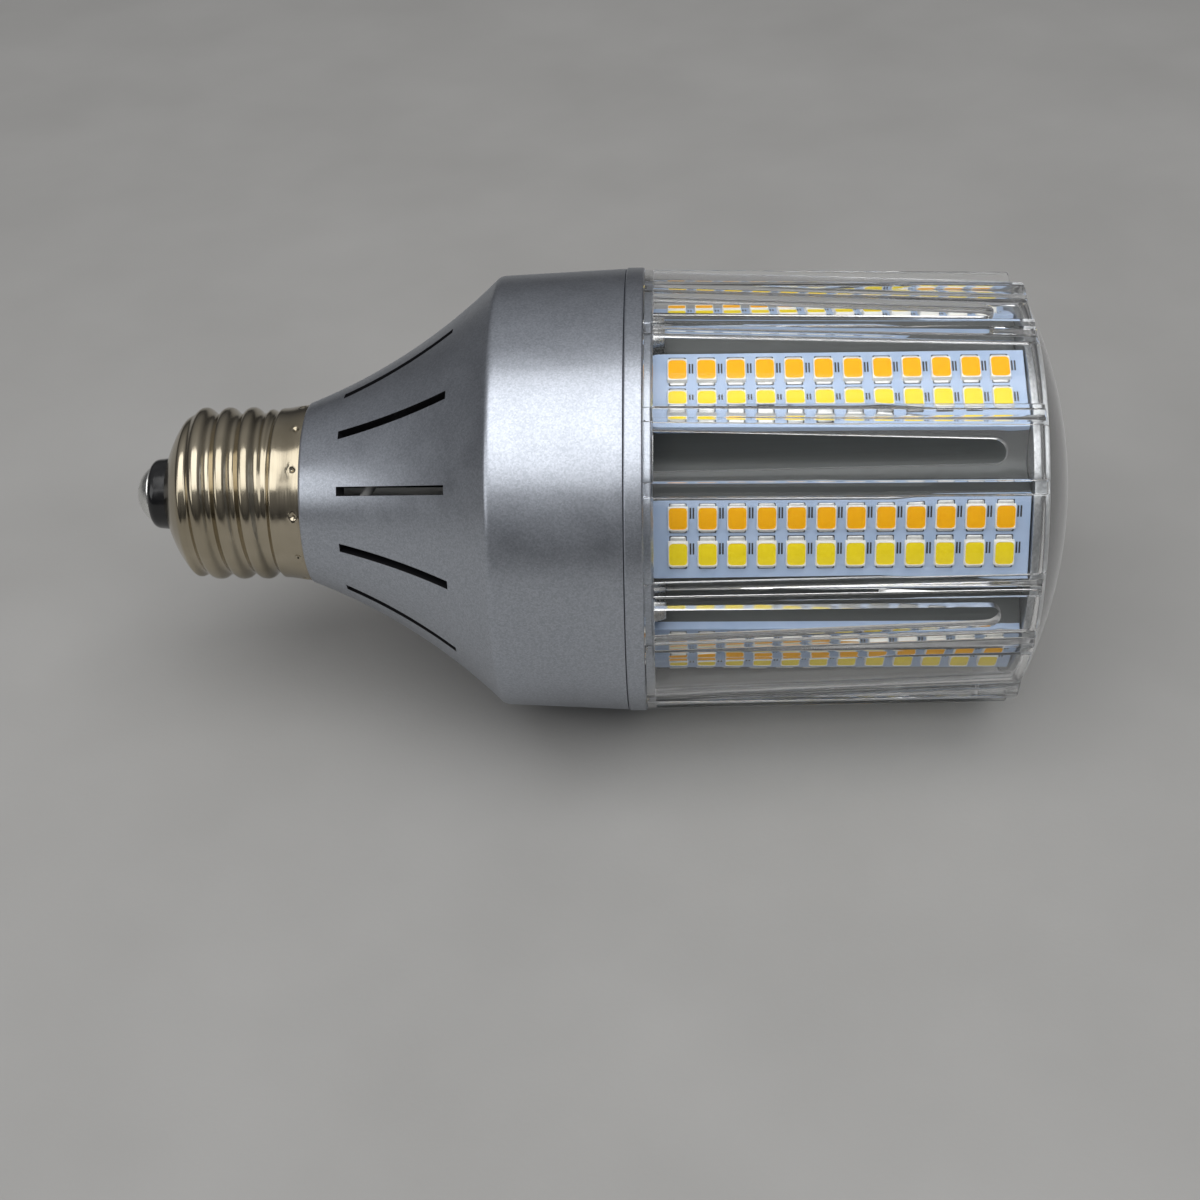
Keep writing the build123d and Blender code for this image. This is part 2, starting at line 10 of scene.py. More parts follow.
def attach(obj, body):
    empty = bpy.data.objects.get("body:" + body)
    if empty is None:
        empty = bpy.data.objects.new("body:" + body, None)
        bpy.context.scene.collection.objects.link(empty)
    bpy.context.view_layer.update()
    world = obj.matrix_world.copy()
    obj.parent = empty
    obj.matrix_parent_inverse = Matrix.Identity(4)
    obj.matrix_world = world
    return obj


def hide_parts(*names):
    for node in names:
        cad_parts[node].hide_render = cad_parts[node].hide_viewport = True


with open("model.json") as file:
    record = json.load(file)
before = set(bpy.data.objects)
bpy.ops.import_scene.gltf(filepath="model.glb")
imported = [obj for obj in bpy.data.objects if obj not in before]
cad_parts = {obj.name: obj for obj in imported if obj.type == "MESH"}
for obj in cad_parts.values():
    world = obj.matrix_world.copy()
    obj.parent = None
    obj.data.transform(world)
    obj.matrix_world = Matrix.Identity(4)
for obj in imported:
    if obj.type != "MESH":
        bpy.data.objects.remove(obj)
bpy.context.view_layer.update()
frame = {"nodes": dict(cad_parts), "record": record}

# Contact button: the live terminal at the tip, a dome of solder over a pressed eyelet.
# It is flowed on by hand, so its face is dull and slightly uneven, and its stem holds the lead.
contact_radius = 4.3
contact_height = 2.4
contact_stem = 1.5
contact_end = 6.9
contact_edge = 0.12
contact_rings = 16
contact_sectors = 72
millimetre = 0.001
merge_gap = 0.001

mount = frame["record"]["mounts"][0]
along = -Vector(mount["axis"]).normalized()
side = Vector((0, -1, 0))
down = along.cross(side)
tip_frame = Matrix.Translation(Vector(mount["pos_m"])) @ Matrix((along, side, down)).transposed().to_4x4()
bulb_frame = tip_frame @ Matrix.Scale(millimetre, 4)


def polar(stations, radii, angles):
    """Points in millimetres, from stations along the axis, radii and angles in degrees from the side."""
    stations, radii, angles = np.broadcast_arrays(stations, radii, np.radians(angles))
    return np.stack((stations, radii * np.cos(angles), radii * np.sin(angles)), axis=-1)


def ring_faces(rings, sectors):
    """Quads between the rings of a closed profile that is turned about the axis."""
    faces = []
    for ring in range(rings):
        here, there = ring * sectors, (ring + 1) % rings * sectors
        for sector in range(sectors):
            after = (sector + 1) % sectors
            faces.append((here + sector, here + after, there + after, there + sector))
    return faces


def turned(profile, sectors=144):
    """Points and faces of a closed profile turned about the axis."""
    profile = np.asarray(profile)
    angles = np.arange(sectors) * 360 / sectors
    points = polar(profile[:, :1], profile[:, 1:], angles[None, :]).reshape(-1, 3)
    return points, ring_faces(len(profile), sectors)


def welded(mesh):
    """A mesh with its doubles merged and its faces turned outwards."""
    skin = bmesh.new()
    skin.from_mesh(mesh)
    bmesh.ops.remove_doubles(skin, verts=skin.verts, dist=merge_gap)
    bmesh.ops.recalc_face_normals(skin, faces=skin.faces)
    skin.to_mesh(mesh)
    skin.free()
    return mesh


def raw_mesh(name, points, faces):
    """A welded mesh in millimetres."""
    mesh = bpy.data.meshes.new(name)
    mesh.from_pydata(np.asarray(points).tolist(), [], faces)
    return welded(mesh)


def set_piece(name, mesh, finish, crease=35):
    """A piece on the bulb: its mesh goes from millimetres to its place, shaded smooth up to a crease."""
    mesh.transform(bulb_frame)
    mesh.polygons.foreach_set("use_smooth", [True] * len(mesh.polygons))
    mesh.set_sharp_from_angle(angle=math.radians(crease))
    mesh.materials.clear()
    mesh.materials.append(finish)
    piece = bpy.data.objects.new(name, mesh)
    bpy.context.scene.collection.objects.link(piece)
    return piece


def new_finish(name):
    """A node material, its tree and its surface shader."""
    finish = bpy.data.materials.new(name)
    finish.use_nodes = True
    return finish, finish.node_tree, finish.node_tree.nodes["Principled BSDF"]


def add_node(tree, kind, sockets=None, **settings):
    """A node with its settings, and with values or links on its inputs."""
    node = tree.nodes.new(kind)
    for setting, value in settings.items():
        setattr(node, setting, value)
    for socket, value in (sockets or {}).items():
        if isinstance(value, bpy.types.NodeSocket):
            tree.links.new(value, node.inputs[socket])
        else:
            node.inputs[socket].default_value = value
    return node


def marks(tree, size, stretch=(1, 1, 1), detail=3.0):
    """Noise with features of a size in millimetres, drawn out where the stretch is small."""
    place = add_node(tree, "ShaderNodeTexCoord").outputs["Object"]
    drawn = add_node(tree, "ShaderNodeMapping", {"Vector": place, "Scale": stretch}).outputs["Vector"]
    scale = 1 / (size * millimetre)
    noise = add_node(tree, "ShaderNodeTexNoise", {"Vector": drawn, "Scale": scale, "Detail": detail})
    return noise.outputs["Fac"]


def tint(tree, factor, low, high, start=0.3, end=0.7):
    """A colour that follows a factor."""
    ramp = add_node(tree, "ShaderNodeValToRGB", {"Fac": factor})
    for element, position, colour in zip(ramp.color_ramp.elements, (start, end), (low, high)):
        element.position = position
        element.color = (*colour, 1)
    return ramp.outputs["Color"]


def span(tree, factor, low, high, start=0.3, end=0.7):
    """A number that follows a factor."""
    sockets = {"Value": factor, "From Min": start, "From Max": end, "To Min": low, "To Max": high}
    return add_node(tree, "ShaderNodeMapRange", sockets).outputs["Result"]


def relief(tree, shader, height, depth):
    """Bumps of a depth in millimetres on a shader."""
    bump = add_node(tree, "ShaderNodeBump", {"Height": height, "Distance": depth * millimetre})
    tree.links.new(bump.outputs["Normal"], shader.inputs["Normal"])


def dress(tree, shader, tone, gloss, height, depth):
    """The colour, the roughness and the bumps of a shader."""
    tree.links.new(tone, shader.inputs["Base Color"])
    tree.links.new(gloss, shader.inputs["Roughness"])
    relief(tree, shader, height, depth)


def metal(name, dull, bright, gloss, grain, depth, stretch=(1, 1, 1), clouds=7.0):
    """Bare metal: clouded colour, and fine marks that break its gloss."""
    finish, tree, shader = new_finish(name)
    grain_marks = marks(tree, grain, stretch)
    tone = tint(tree, marks(tree, clouds), dull, bright)
    shader.inputs["Metallic"].default_value = 1.0
    dress(tree, shader, tone, span(tree, grain_marks, *gloss), grain_marks, depth)
    return finish


solder_finish = metal(
    "solder", dull=(0.70, 0.70, 0.68), bright=(0.88, 0.88, 0.86), gloss=(0.20, 0.36), grain=0.6, depth=0.012
)
button_arc = (contact_radius ** 2 + contact_height ** 2) / (2 * contact_height)
contact_profile = [
    (button_arc - math.sqrt(button_arc ** 2 - reach ** 2), reach)
    for reach in np.linspace(0, contact_radius - contact_edge, contact_rings)
]
contact_profile += [
    (contact_height, contact_radius - contact_edge), (contact_height, contact_stem),
    (contact_end, contact_stem), (contact_end, 0),
]
contact_mesh = raw_mesh("contact_button", *turned(contact_profile, contact_sectors))
contact_button = set_piece("contact_button_piece", contact_mesh, solder_finish)
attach(contact_button, "root")
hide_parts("contact_button")

# Base insulator: a black glazed ring that keeps the contact apart from the screw shell.
# It is moulded, and the shell's mouth is rolled over its seat.
insulator_bore = 1.6
insulator_face_radius = 5.2
insulator_face_ease = 1.2
insulator_neck = 5.75
insulator_neck_radius = 5.5
insulator_neck_ease = 0.1
insulator_seat = 7.24
insulator_end = 8.84
insulator_seat_radius = 8.2
insulator_seat_ease = 0.2


def soften(corners, steps=4):
    """A profile of stations and radii with each corner rounded, over the length that it gives."""
    most_of_side = 0.48
    outline = []
    for index, (station, radius, ease) in enumerate(corners):
        here = np.array((station, radius))
        if ease == 0:
            outline.append(here)
            continue
        before = np.array(corners[index - 1][:2]) - here
        after = np.array(corners[(index + 1) % len(corners)][:2]) - here
        first = here + before * min(ease / np.linalg.norm(before), most_of_side)
        last = here + after * min(ease / np.linalg.norm(after), most_of_side)
        for share in np.linspace(0, 1, steps + 1):
            outline.append((1 - share) ** 2 * first + 2 * share * (1 - share) * here + share ** 2 * last)
    return np.array(outline)


insulator_finish, tree, shader = new_finish("black_insulator")
insulator_clouds = marks(tree, size=1.5)
insulator_tone = tint(tree, insulator_clouds, (0.004, 0.004, 0.005), (0.012, 0.012, 0.013))
insulator_gloss = span(tree, insulator_clouds, 0.12, 0.26)
dress(tree, shader, insulator_tone, insulator_gloss, insulator_clouds, depth=0.03)
shader.inputs["Coat Weight"].default_value = 0.15
shader.inputs["Coat Roughness"].default_value = 0.06
insulator_profile = soften([
    (contact_height, insulator_bore, 0), (contact_height, insulator_face_radius, insulator_face_ease),
    (insulator_neck, insulator_neck_radius, insulator_neck_ease),
    (insulator_seat, insulator_seat_radius, insulator_seat_ease),
    (insulator_end, insulator_seat_radius, insulator_seat_ease), (insulator_end, insulator_bore, 0),
], steps=6)
insulator_mesh = raw_mesh("base_insulator", *turned(insulator_profile))
base_insulator = set_piece("base_insulator_piece", insulator_mesh, insulator_finish)
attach(base_insulator, "root")
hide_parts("base_insulator")

# Screw shell: thin sheet metal, drawn to a cup, with the lamp thread rolled into it and then nickel plated.
# It is staked to the housing's neck by a ring of small dimples close to its edge.
shell_wall = 0.35
shell_mouth = 5.3
shoulder_end = 9.5
skirt_step = 21.9
skirt_flare = 22.9
shell_edge = 27.2
shoulder_round = 1.7
mouth_radius = 5.6
root_radius = 12.1
skirt_radius = 12.9
edge_radius = 13.4
thread_pitch = 3.629
thread_depth = 1.0
thread_start = 7.55
thread_rise = (7.8, 10.6)
thread_fall = (20.5, 22.3)
crest_turn = 0.25
# The thread's form from groove to crest, as shares of half a pitch and of its depth.
crown_points = ((0.14, 0.05), (0.34, 0.34), (0.55, 0.71), (0.78, 0.95))
dimple_station = 26.25
dimple_first_angle = -20.0
dimple_step = 30.0
dimple_depth = 0.3
dimple_size = 0.32
dimple_reach = 2.4
dimple_lip = 0.06
dimple_lip_place = 0.62
dimple_lip_size = 0.16
dimple_columns = 13
# Where each stretch of the shell's rings ends, and the step between its rings.
thread_rings_end, thread_ring_step = 23.0, 0.15
skirt_rings_end, skirt_ring_step = 25.4, 0.3
dimple_rings_end, dimple_ring_step = 27.15, 0.1


def smoothstep(share):
    """A share that eases from 0 to 1."""
    share = np.clip(share, 0, 1)
    return share * share * (3 - 2 * share)


def shell_radius(stations):
    """The drawn cup before its thread is rolled."""
    shoulder = np.clip((stations - shell_mouth) / (shoulder_end - shell_mouth), 0, 1)
    radius = mouth_radius + (root_radius - mouth_radius) * (1 - (1 - shoulder) ** shoulder_round)
    step = smoothstep((stations - skirt_step) / (skirt_flare - skirt_step))
    flare = smoothstep((stations - skirt_flare) / (shell_edge - skirt_flare))
    return radius + (skirt_radius - root_radius) * step + (edge_radius - skirt_radius) * flare


shell_stations = np.concatenate((
    np.arange(shell_mouth, thread_rings_end, thread_ring_step),
    np.arange(thread_rings_end, skirt_rings_end, skirt_ring_step),
    np.arange(skirt_rings_end, dimple_rings_end, dimple_ring_step), [shell_edge],
))
near_dimple = np.linspace(-dimple_reach, dimple_reach, dimple_columns)
between_dimples = np.linspace(dimple_reach, dimple_step - dimple_reach, dimple_columns)[1:-1]
dimple_cell = np.concatenate((near_dimple, between_dimples))
shell_angles = np.concatenate([
    dimple_first_angle + dimple_step * index + dimple_cell for index in range(round(360 / dimple_step))
])
grid_stations, grid_angles = np.meshgrid(shell_stations, shell_angles, indexing="ij")
from_dimple = (grid_angles - dimple_first_angle + dimple_step / 2) % dimple_step - dimple_step / 2
dimple_gap = np.hypot(np.radians(from_dimple) * edge_radius, grid_stations - dimple_station)
dent = dimple_depth * np.exp(-((dimple_gap / dimple_size) ** 2))
dent -= dimple_lip * np.exp(-(((dimple_gap - dimple_lip_place) / dimple_lip_size) ** 2))
outside = polar(grid_stations, shell_radius(grid_stations) - dent, grid_angles)
inside = polar(grid_stations, shell_radius(grid_stations) - shell_wall - dent, grid_angles)[::-2]
shell_points = np.concatenate((outside, inside)).reshape(-1, 3)
shell_faces = ring_faces(len(outside) + len(inside), len(shell_angles))
shell_mesh = raw_mesh("screw_shell", shell_points, shell_faces)


def new_tree(name, inputs):
    """A geometry tree with named inputs, and its two ends."""
    tree = bpy.data.node_groups.new(name, "GeometryNodeTree")
    tree.interface.new_socket("Geometry", in_out="INPUT", socket_type="NodeSocketGeometry")
    for label, kind in inputs.items():
        tree.interface.new_socket(label, in_out="INPUT", socket_type=f"NodeSocket{kind}")
    tree.interface.new_socket("Geometry", in_out="OUTPUT", socket_type="NodeSocketGeometry")
    given = tree.nodes.new("NodeGroupInput").outputs
    made = tree.nodes.new("NodeGroupOutput").inputs["Geometry"]
    return tree, given, made


def close_tree(tree, geometry, finish, made):
    """The end of a geometry tree: its instances become real and get their finish."""
    real = add_node(tree, "GeometryNodeRealizeInstances", {"Geometry": geometry}).outputs["Geometry"]
    coated = add_node(tree, "GeometryNodeSetMaterial", {"Geometry": real, "Material": finish})
    tree.links.new(coated.outputs["Geometry"], made)


def calc(tree, operation, *values):
    """A calculation on numbers or fields."""
    return add_node(tree, "ShaderNodeMath", dict(enumerate(values)), operation=operation).outputs["Value"]


def grown(mesh, tree, values):
    """The plain mesh that a geometry tree makes from a mesh, with the tree's inputs set by name."""
    host = bpy.data.objects.new("host", mesh)
    bpy.context.scene.collection.objects.link(host)
    modifier = host.modifiers.new(tree.name, "NODES")
    modifier.node_group = tree
    for item in tree.interface.items_tree:
        if item.in_out == "INPUT" and item.name in values:
            modifier[item.identifier] = values[item.name]
    result = bpy.data.meshes.new_from_object(host.evaluated_get(bpy.context.evaluated_depsgraph_get()))
    host.modifiers.remove(modifier)
    bpy.data.objects.remove(host)
    return result


# The rolling rule: the wall moves outwards by a rounded crest and groove that climbs one pitch a turn.
thread_tree, given, made = new_tree("rolled_thread", {
    "Pitch": "Float", "Depth": "Float", "First crest": "Float", "Rise from": "Float", "Rise to": "Float",
    "Fall from": "Float", "Fall to": "Float", "Finish": "Material",
})
place = add_node(thread_tree, "GeometryNodeInputPosition").outputs["Position"]
spot = add_node(thread_tree, "ShaderNodeSeparateXYZ", {0: place}).outputs
turn = calc(thread_tree, "DIVIDE", calc(thread_tree, "ARCTAN2", spot["Z"], spot["Y"]), math.tau)
climb = calc(thread_tree, "SUBTRACT", spot["X"], given["First crest"])
climb = calc(thread_tree, "DIVIDE", climb, given["Pitch"])
phase = calc(thread_tree, "SUBTRACT", calc(thread_tree, "SUBTRACT", climb, turn), crest_turn)
saw = calc(thread_tree, "ABSOLUTE", calc(thread_tree, "SUBTRACT", calc(thread_tree, "FRACT", phase), 0.5))
crown = add_node(thread_tree, "ShaderNodeFloatCurve", {"Value": calc(thread_tree, "MULTIPLY", saw, 2)})
for crown_place, crown_height in crown_points:
    crown.mapping.curves[0].points.new(crown_place, crown_height)
rise, fall = (
    add_node(thread_tree, "ShaderNodeMapRange", {
        "Value": spot["X"], "From Min": given[low], "From Max": given[high],
    }, interpolation_type="SMOOTHSTEP").outputs["Result"]
    for low, high in (("Rise from", "Rise to"), ("Fall to", "Fall from"))
)
lift = calc(thread_tree, "MULTIPLY", calc(thread_tree, "MULTIPLY", rise, fall), given["Depth"])
lift = calc(thread_tree, "MULTIPLY", lift, crown.outputs["Value"])
across = add_node(thread_tree, "ShaderNodeCombineXYZ", {"Y": spot["Y"], "Z": spot["Z"]}).outputs["Vector"]
outward = add_node(thread_tree, "ShaderNodeVectorMath", {0: across}, operation="NORMALIZE")
push = add_node(thread_tree, "ShaderNodeVectorMath", {
    0: outward.outputs["Vector"], "Scale": lift,
}, operation="SCALE")
rolled = add_node(thread_tree, "GeometryNodeSetPosition", {
    "Geometry": given["Geometry"], "Offset": push.outputs["Vector"],
})
close_tree(thread_tree, rolled.outputs["Geometry"], given["Finish"], made)

nickel_finish = metal(
    "nickel_shell", dull=(0.40, 0.35, 0.255), bright=(0.54, 0.48, 0.37), gloss=(0.11, 0.23),
    grain=0.35, depth=0.004, stretch=(1, 0.06, 0.06), clouds=9.0,
)
shell_mesh = grown(shell_mesh, thread_tree, {
    "Pitch": thread_pitch, "Depth": thread_depth, "First crest": thread_start,
    "Rise from": thread_rise[0], "Rise to": thread_rise[1],
    "Fall from": thread_fall[0], "Fall to": thread_fall[1], "Finish": nickel_finish,
})
screw_shell = set_piece("screw_shell_piece", shell_mesh, nickel_finish, crease=50)
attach(screw_shell, "root")
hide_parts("screw_shell")

# Driver housing: a trumpet with a plain band, moulded in black and sprayed outside with silver flake paint.
# Twelve long vents are cored through its flare, its neck holds the screw shell, and its bosses take screws.
flare_start = 27.2
flare_foot = 13.7
band_start = 56.5
band_foot = 32.3
band_end = 75.1
band_edge = 33.15
flare_sagitta = 1.75
flare_edge_ease = 0.8
flare_foot_ease = 0.12
flare_foot_gap = 0.4
flare_foot_rings = 7
flare_head_rings = 8
band_rings = 12
band_edge_ease = 0.2
band_edge_chamfer = 0.05
housing_wall = 2.0
paint_reach = 0.4
flake_size = 0.2
flake_dark = (0.40, 0.43, 0.48)
flake_bright = (0.53, 0.56, 0.62)
bare_plastic = (0.012, 0.012, 0.014, 1)
neck_end = 16.2
neck_bore = 9.85
neck_radius = 11.65
neck_step = (22.0, 22.6)
neck_floor = 27.9
floor_radius = 11.72
floor_ease = (0.05, 0.06)
shell_seat_radius = 12.45
vent_count = 12
vent_width = 1.35
vent_first_angle = -36.0
vent_start = 33.3
vent_end = 50.1
vent_wall_rings = 18
# Columns of one cell: shares of the vent's half width, then of the wall from it to the next vent.
vent_columns = np.array((-1, -1 / 3, 1 / 3, 1))
solid_columns = np.linspace(0, 1, 14)[1:]
screw_angles = (1.2, 91.2, 181.2, 271.2)
boss_circle = 26.6
boss_radius = 2.4
boss_bore = 1.5
boss_start = 55.5
boss_end = 75.5

chord = np.array((band_start - flare_start, band_foot - flare_foot))
chord_length = np.linalg.norm(chord)
chord /= chord_length
flare_arc = chord_length ** 2 / (8 * flare_sagitta) + flare_sagitta / 2
chord_middle = np.array(((flare_start + band_start) / 2, (flare_foot + band_foot) / 2))
flare_centre = chord_middle + np.array((chord[1], -chord[0])) * (flare_sagitta - flare_arc)
flare_stations = np.concatenate((
    [flare_start + flare_foot_ease],
    np.linspace(flare_start + flare_foot_gap, vent_start, flare_foot_rings),
    np.linspace(vent_start, vent_end, vent_wall_rings)[1:],
    np.linspace(vent_end, band_start - flare_edge_ease, flare_head_rings)[1:],
))
flare_radii = flare_centre[1] - np.sqrt(flare_arc ** 2 - (flare_stations - flare_centre[0]) ** 2)
flare_line = np.stack((flare_stations, flare_radii), axis=1)
edge_corners = [(*flare_line[-1], 0), (band_start, band_foot, flare_edge_ease), (band_end, band_edge, 0)]
edge_line = soften(edge_corners, steps=6)[1:-1]
band_line = np.linspace(edge_line[-1], (band_end - band_edge_ease, band_edge), band_rings)[1:]
housing_outside = np.concatenate((
    [(flare_start, flare_foot - flare_foot_ease)], flare_line, edge_line, band_line,
    [(band_end - band_edge_chamfer, band_edge - band_edge_chamfer), (band_end, band_edge - band_edge_ease)],
))
slope = np.gradient(housing_outside, axis=0)
slope /= np.linalg.norm(slope, axis=1)[:, None]
housing_inside = housing_outside + housing_wall * np.stack((slope[:, 1], -slope[:, 0]), axis=1)
for ring, setback in ((-3, 2 * band_edge_ease), (-2, band_edge_ease), (-1, 0)):
    housing_inside[ring] = (band_end - setback, band_edge - housing_wall)
housing_inside[0] = (neck_floor, floor_radius)
housing_inside[1] = housing_inside[0] + floor_ease
neck_line = np.array([
    (neck_floor, neck_bore), (neck_end, neck_bore), (neck_end, neck_radius), (neck_step[0], neck_radius),
    (neck_step[1], shell_seat_radius), (flare_start, shell_seat_radius),
])
housing_line = np.concatenate((housing_outside, housing_inside[::-1], neck_line))
vent_half = np.degrees(np.arcsin(vent_width / 2 / housing_line[:, 1]))[:, None]
vent_step = 360 / vent_count
solid_angles = vent_half + (vent_step - 2 * vent_half) * solid_columns
vent_angles = np.concatenate((vent_half * vent_columns, solid_angles), axis=1)
vent_points = polar(housing_line[:, :1], housing_line[:, 1:], vent_angles)
vent_rings = [int(np.argmin(np.abs(housing_outside[:, 0] - station))) for station in (vent_start, vent_end)]


def pierced_faces(rings, columns, cut, first, last, mirror):
    """Quads of one cell of a double wall: a slot between two columns stays open and gets its own walls."""
    def quad(ring, column, next_ring, next_column):
        return (
            ring * columns + column, ring * columns + next_column,
            next_ring * columns + next_column, next_ring * columns + column,
        )

    faces = []
    for ring in range(rings):
        slotted = first <= ring < last or mirror - last <= ring < mirror - first
        for column in range(columns - 1):
            if not (slotted and cut[0] <= column < cut[1]):
                faces.append(quad(ring, column, (ring + 1) % rings, column + 1))
    for ring in (first, last):
        faces += [quad(ring, column, mirror - ring, column + 1) for column in range(*cut)]
    for ring in range(first, last):
        for column in cut:
            here, there = ring * columns + column, (mirror - ring) * columns + column
            faces.append((here, here + columns, there - columns, there))
    return faces


vent_cut = (0, len(vent_columns) - 1)
vent_faces = pierced_faces(*vent_angles.shape, vent_cut, *vent_rings, 2 * len(housing_outside) - 1)

# The rule for what repeats: copies stand in a row along the axis, and the row repeats in a ring round it.
rows_tree, given, made = new_tree("rows_round_axis", {
    "Row count": "Int", "Row pitch": "Float", "Start": "Vector", "Ring count": "Int",
    "First angle": "Float", "Finish": "Material",
})
step_along = add_node(rows_tree, "ShaderNodeCombineXYZ", {"X": given["Row pitch"]}).outputs["Vector"]
row_line = add_node(rows_tree, "GeometryNodeMeshLine", {
    "Count": given["Row count"], "Start Location": given["Start"], "Offset": step_along,
}).outputs["Mesh"]
row = add_node(rows_tree, "GeometryNodeInstanceOnPoints", {
    "Points": row_line, "Instance": given["Geometry"],
})
row_real = add_node(rows_tree, "GeometryNodeRealizeInstances", {"Geometry": row.outputs["Instances"]})
hub = add_node(rows_tree, "GeometryNodeMeshLine", {"Count": given["Ring count"], "Offset": (0, 0, 0)})
index = add_node(rows_tree, "GeometryNodeInputIndex").outputs["Index"]
share = calc(rows_tree, "DIVIDE", calc(rows_tree, "MULTIPLY", index, math.tau), given["Ring count"])
turn = calc(rows_tree, "ADD", share, calc(rows_tree, "RADIANS", given["First angle"]))
spin = add_node(rows_tree, "ShaderNodeCombineXYZ", {"X": turn}).outputs["Vector"]
spin = add_node(rows_tree, "FunctionNodeEulerToRotation", {"Euler": spin}).outputs["Rotation"]
ring = add_node(rows_tree, "GeometryNodeInstanceOnPoints", {
    "Points": hub.outputs["Mesh"], "Instance": row_real.outputs["Geometry"], "Rotation": spin,
})
close_tree(rows_tree, ring.outputs["Instances"], given["Finish"], made)


def ring_of(mesh, count, first_angle, finish, start=(0, 0, 0), row_count=1, row_pitch=0.0):
    """Copies of a mesh round the axis, and in a row along it where a count and a pitch are given."""
    return grown(mesh, rows_tree, {
        "Row count": row_count, "Row pitch": row_pitch, "Start": start, "Ring count": count,
        "First angle": first_angle, "Finish": finish,
    })


def merged(*solids):
    """Several sets of points and faces as one."""
    points, faces = [], []
    for solid_points, solid_faces in solids:
        start = sum(len(block) for block in points)
        points.append(np.reshape(solid_points, (-1, 3)))
        faces += [tuple(start + corner for corner in face) for face in solid_faces]
    return np.concatenate(points), faces


def joined(name, meshes):
    """Several meshes as one."""
    skin = bmesh.new()
    for mesh in meshes:
        skin.from_mesh(mesh)
    result = bpy.data.meshes.new(name)
    skin.to_mesh(result)
    skin.free()
    return result


def standing_tube(start, end, outer, inner, circle, angle, sectors=32):
    """A tube that stands along the axis, off it by a circle's radius at an angle."""
    points, faces = turned([(start, outer), (end, outer), (end, inner), (start, inner)], sectors)
    return points + polar(0, circle, angle), faces


def blend(tree, factor, first, second):
    """A colour between two. A Mix node's colour sockets share their names, so they go by number."""
    mix = add_node(tree, "ShaderNodeMix", {0: factor, 6: first, 7: second}, data_type="RGBA")
    return mix.outputs[2]


bosses = [
    standing_tube(boss_start, boss_end, boss_radius, boss_bore, boss_circle, angle)
    for angle in screw_angles
]
silver_finish, tree, shader = new_finish("silver_paint")
vent_cell = raw_mesh("walls", vent_points.reshape(-1, 3), vent_faces)
walls_mesh = ring_of(vent_cell, vent_count, vent_first_angle, silver_finish)
bosses_mesh = raw_mesh("bosses", *merged(*bosses))
housing_mesh = welded(joined("driver_housing", [walls_mesh, bosses_mesh]))
# Faces deeper than the spray reaches stay bare plastic.
middles = np.array([face.center for face in housing_mesh.polygons])
paint_depth = np.interp(middles[:, 0], *housing_outside.T) - np.hypot(middles[:, 1], middles[:, 2])
unpainted = housing_mesh.attributes.new("unpainted", "FLOAT", "FACE")
unpainted.data.foreach_set("value", (paint_depth > paint_reach).astype(float))

flake_place = add_node(tree, "ShaderNodeTexCoord").outputs["Object"]
flakes = add_node(tree, "ShaderNodeTexVoronoi", {
    "Vector": flake_place, "Scale": 1 / (flake_size * millimetre),
})
flake_tone = add_node(tree, "ShaderNodeSeparateColor", {"Color": flakes.outputs["Color"]}).outputs["Red"]
flake_colour = tint(tree, flake_tone, flake_dark, flake_bright, start=0, end=1)
bare = add_node(tree, "ShaderNodeAttribute", attribute_name="unpainted").outputs["Fac"]
paint_tone = blend(tree, bare, flake_colour, bare_plastic)
tree.links.new(span(tree, bare, 0.95, 0.0, start=0, end=1), shader.inputs["Metallic"])
paint_gloss = span(tree, marks(tree, size=5.0), 0.30, 0.37)
paint_grain = marks(tree, size=0.25, detail=2.0)
dress(tree, shader, paint_tone, paint_gloss, paint_grain, depth=0.005)
driver_housing = set_piece("driver_housing_piece", housing_mesh, silver_finish, crease=40)
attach(driver_housing, "root")
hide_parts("driver_housing")

# Driver: a round glass-fibre board hung on the collar's posts, with the mains parts on its base side.
# The parts are soldered by their legs, and white leads run to the contact, the shell and the link board.
board_green, tree, shader = new_finish("green_board")
green_tone = tint(tree, marks(tree, size=2.5), (0.025, 0.15, 0.05), (0.05, 0.24, 0.08))
green_gloss = span(tree, marks(tree, size=0.8), 0.28, 0.42)
dress(tree, shader, green_tone, green_gloss, marks(tree, size=1.2), depth=0.03)


def moulded(name, dark, light, gloss, grain=0.9, depth=0.02, clouds=4.0):
    """Plastic, lacquer or ferrite: a colour that drifts a little, over a fine grain."""
    finish, tree, shader = new_finish(name)
    grain_marks = marks(tree, grain)
    tone = tint(tree, marks(tree, clouds), dark, light)
    dress(tree, shader, tone, span(tree, grain_marks, *gloss), grain_marks, depth)
    return finish


sleeve_finish = moulded("black_sleeve", (0.008, 0.008, 0.010), (0.020, 0.020, 0.023), (0.4, 0.6))
ferrite_finish = moulded(
    "ferrite", (0.015, 0.015, 0.016), (0.035, 0.035, 0.036), (0.5, 0.75), grain=0.3, depth=0.03
)
yellow_finish = moulded("yellow_case", (0.62, 0.42, 0.03), (0.78, 0.56, 0.06), (0.3, 0.45))
blue_finish = moulded("blue_coating", (0.03, 0.10, 0.34), (0.06, 0.17, 0.46), (0.25, 0.4))
wire_finish = moulded("white_wire", (0.74, 0.74, 0.72), (0.86, 0.86, 0.84), (0.35, 0.5))
steel_finish = metal(
    "screw_steel", dull=(0.48, 0.48, 0.48), bright=(0.68, 0.68, 0.67), gloss=(0.2, 0.36),
    grain=0.25, depth=0.006, clouds=2.0,
)
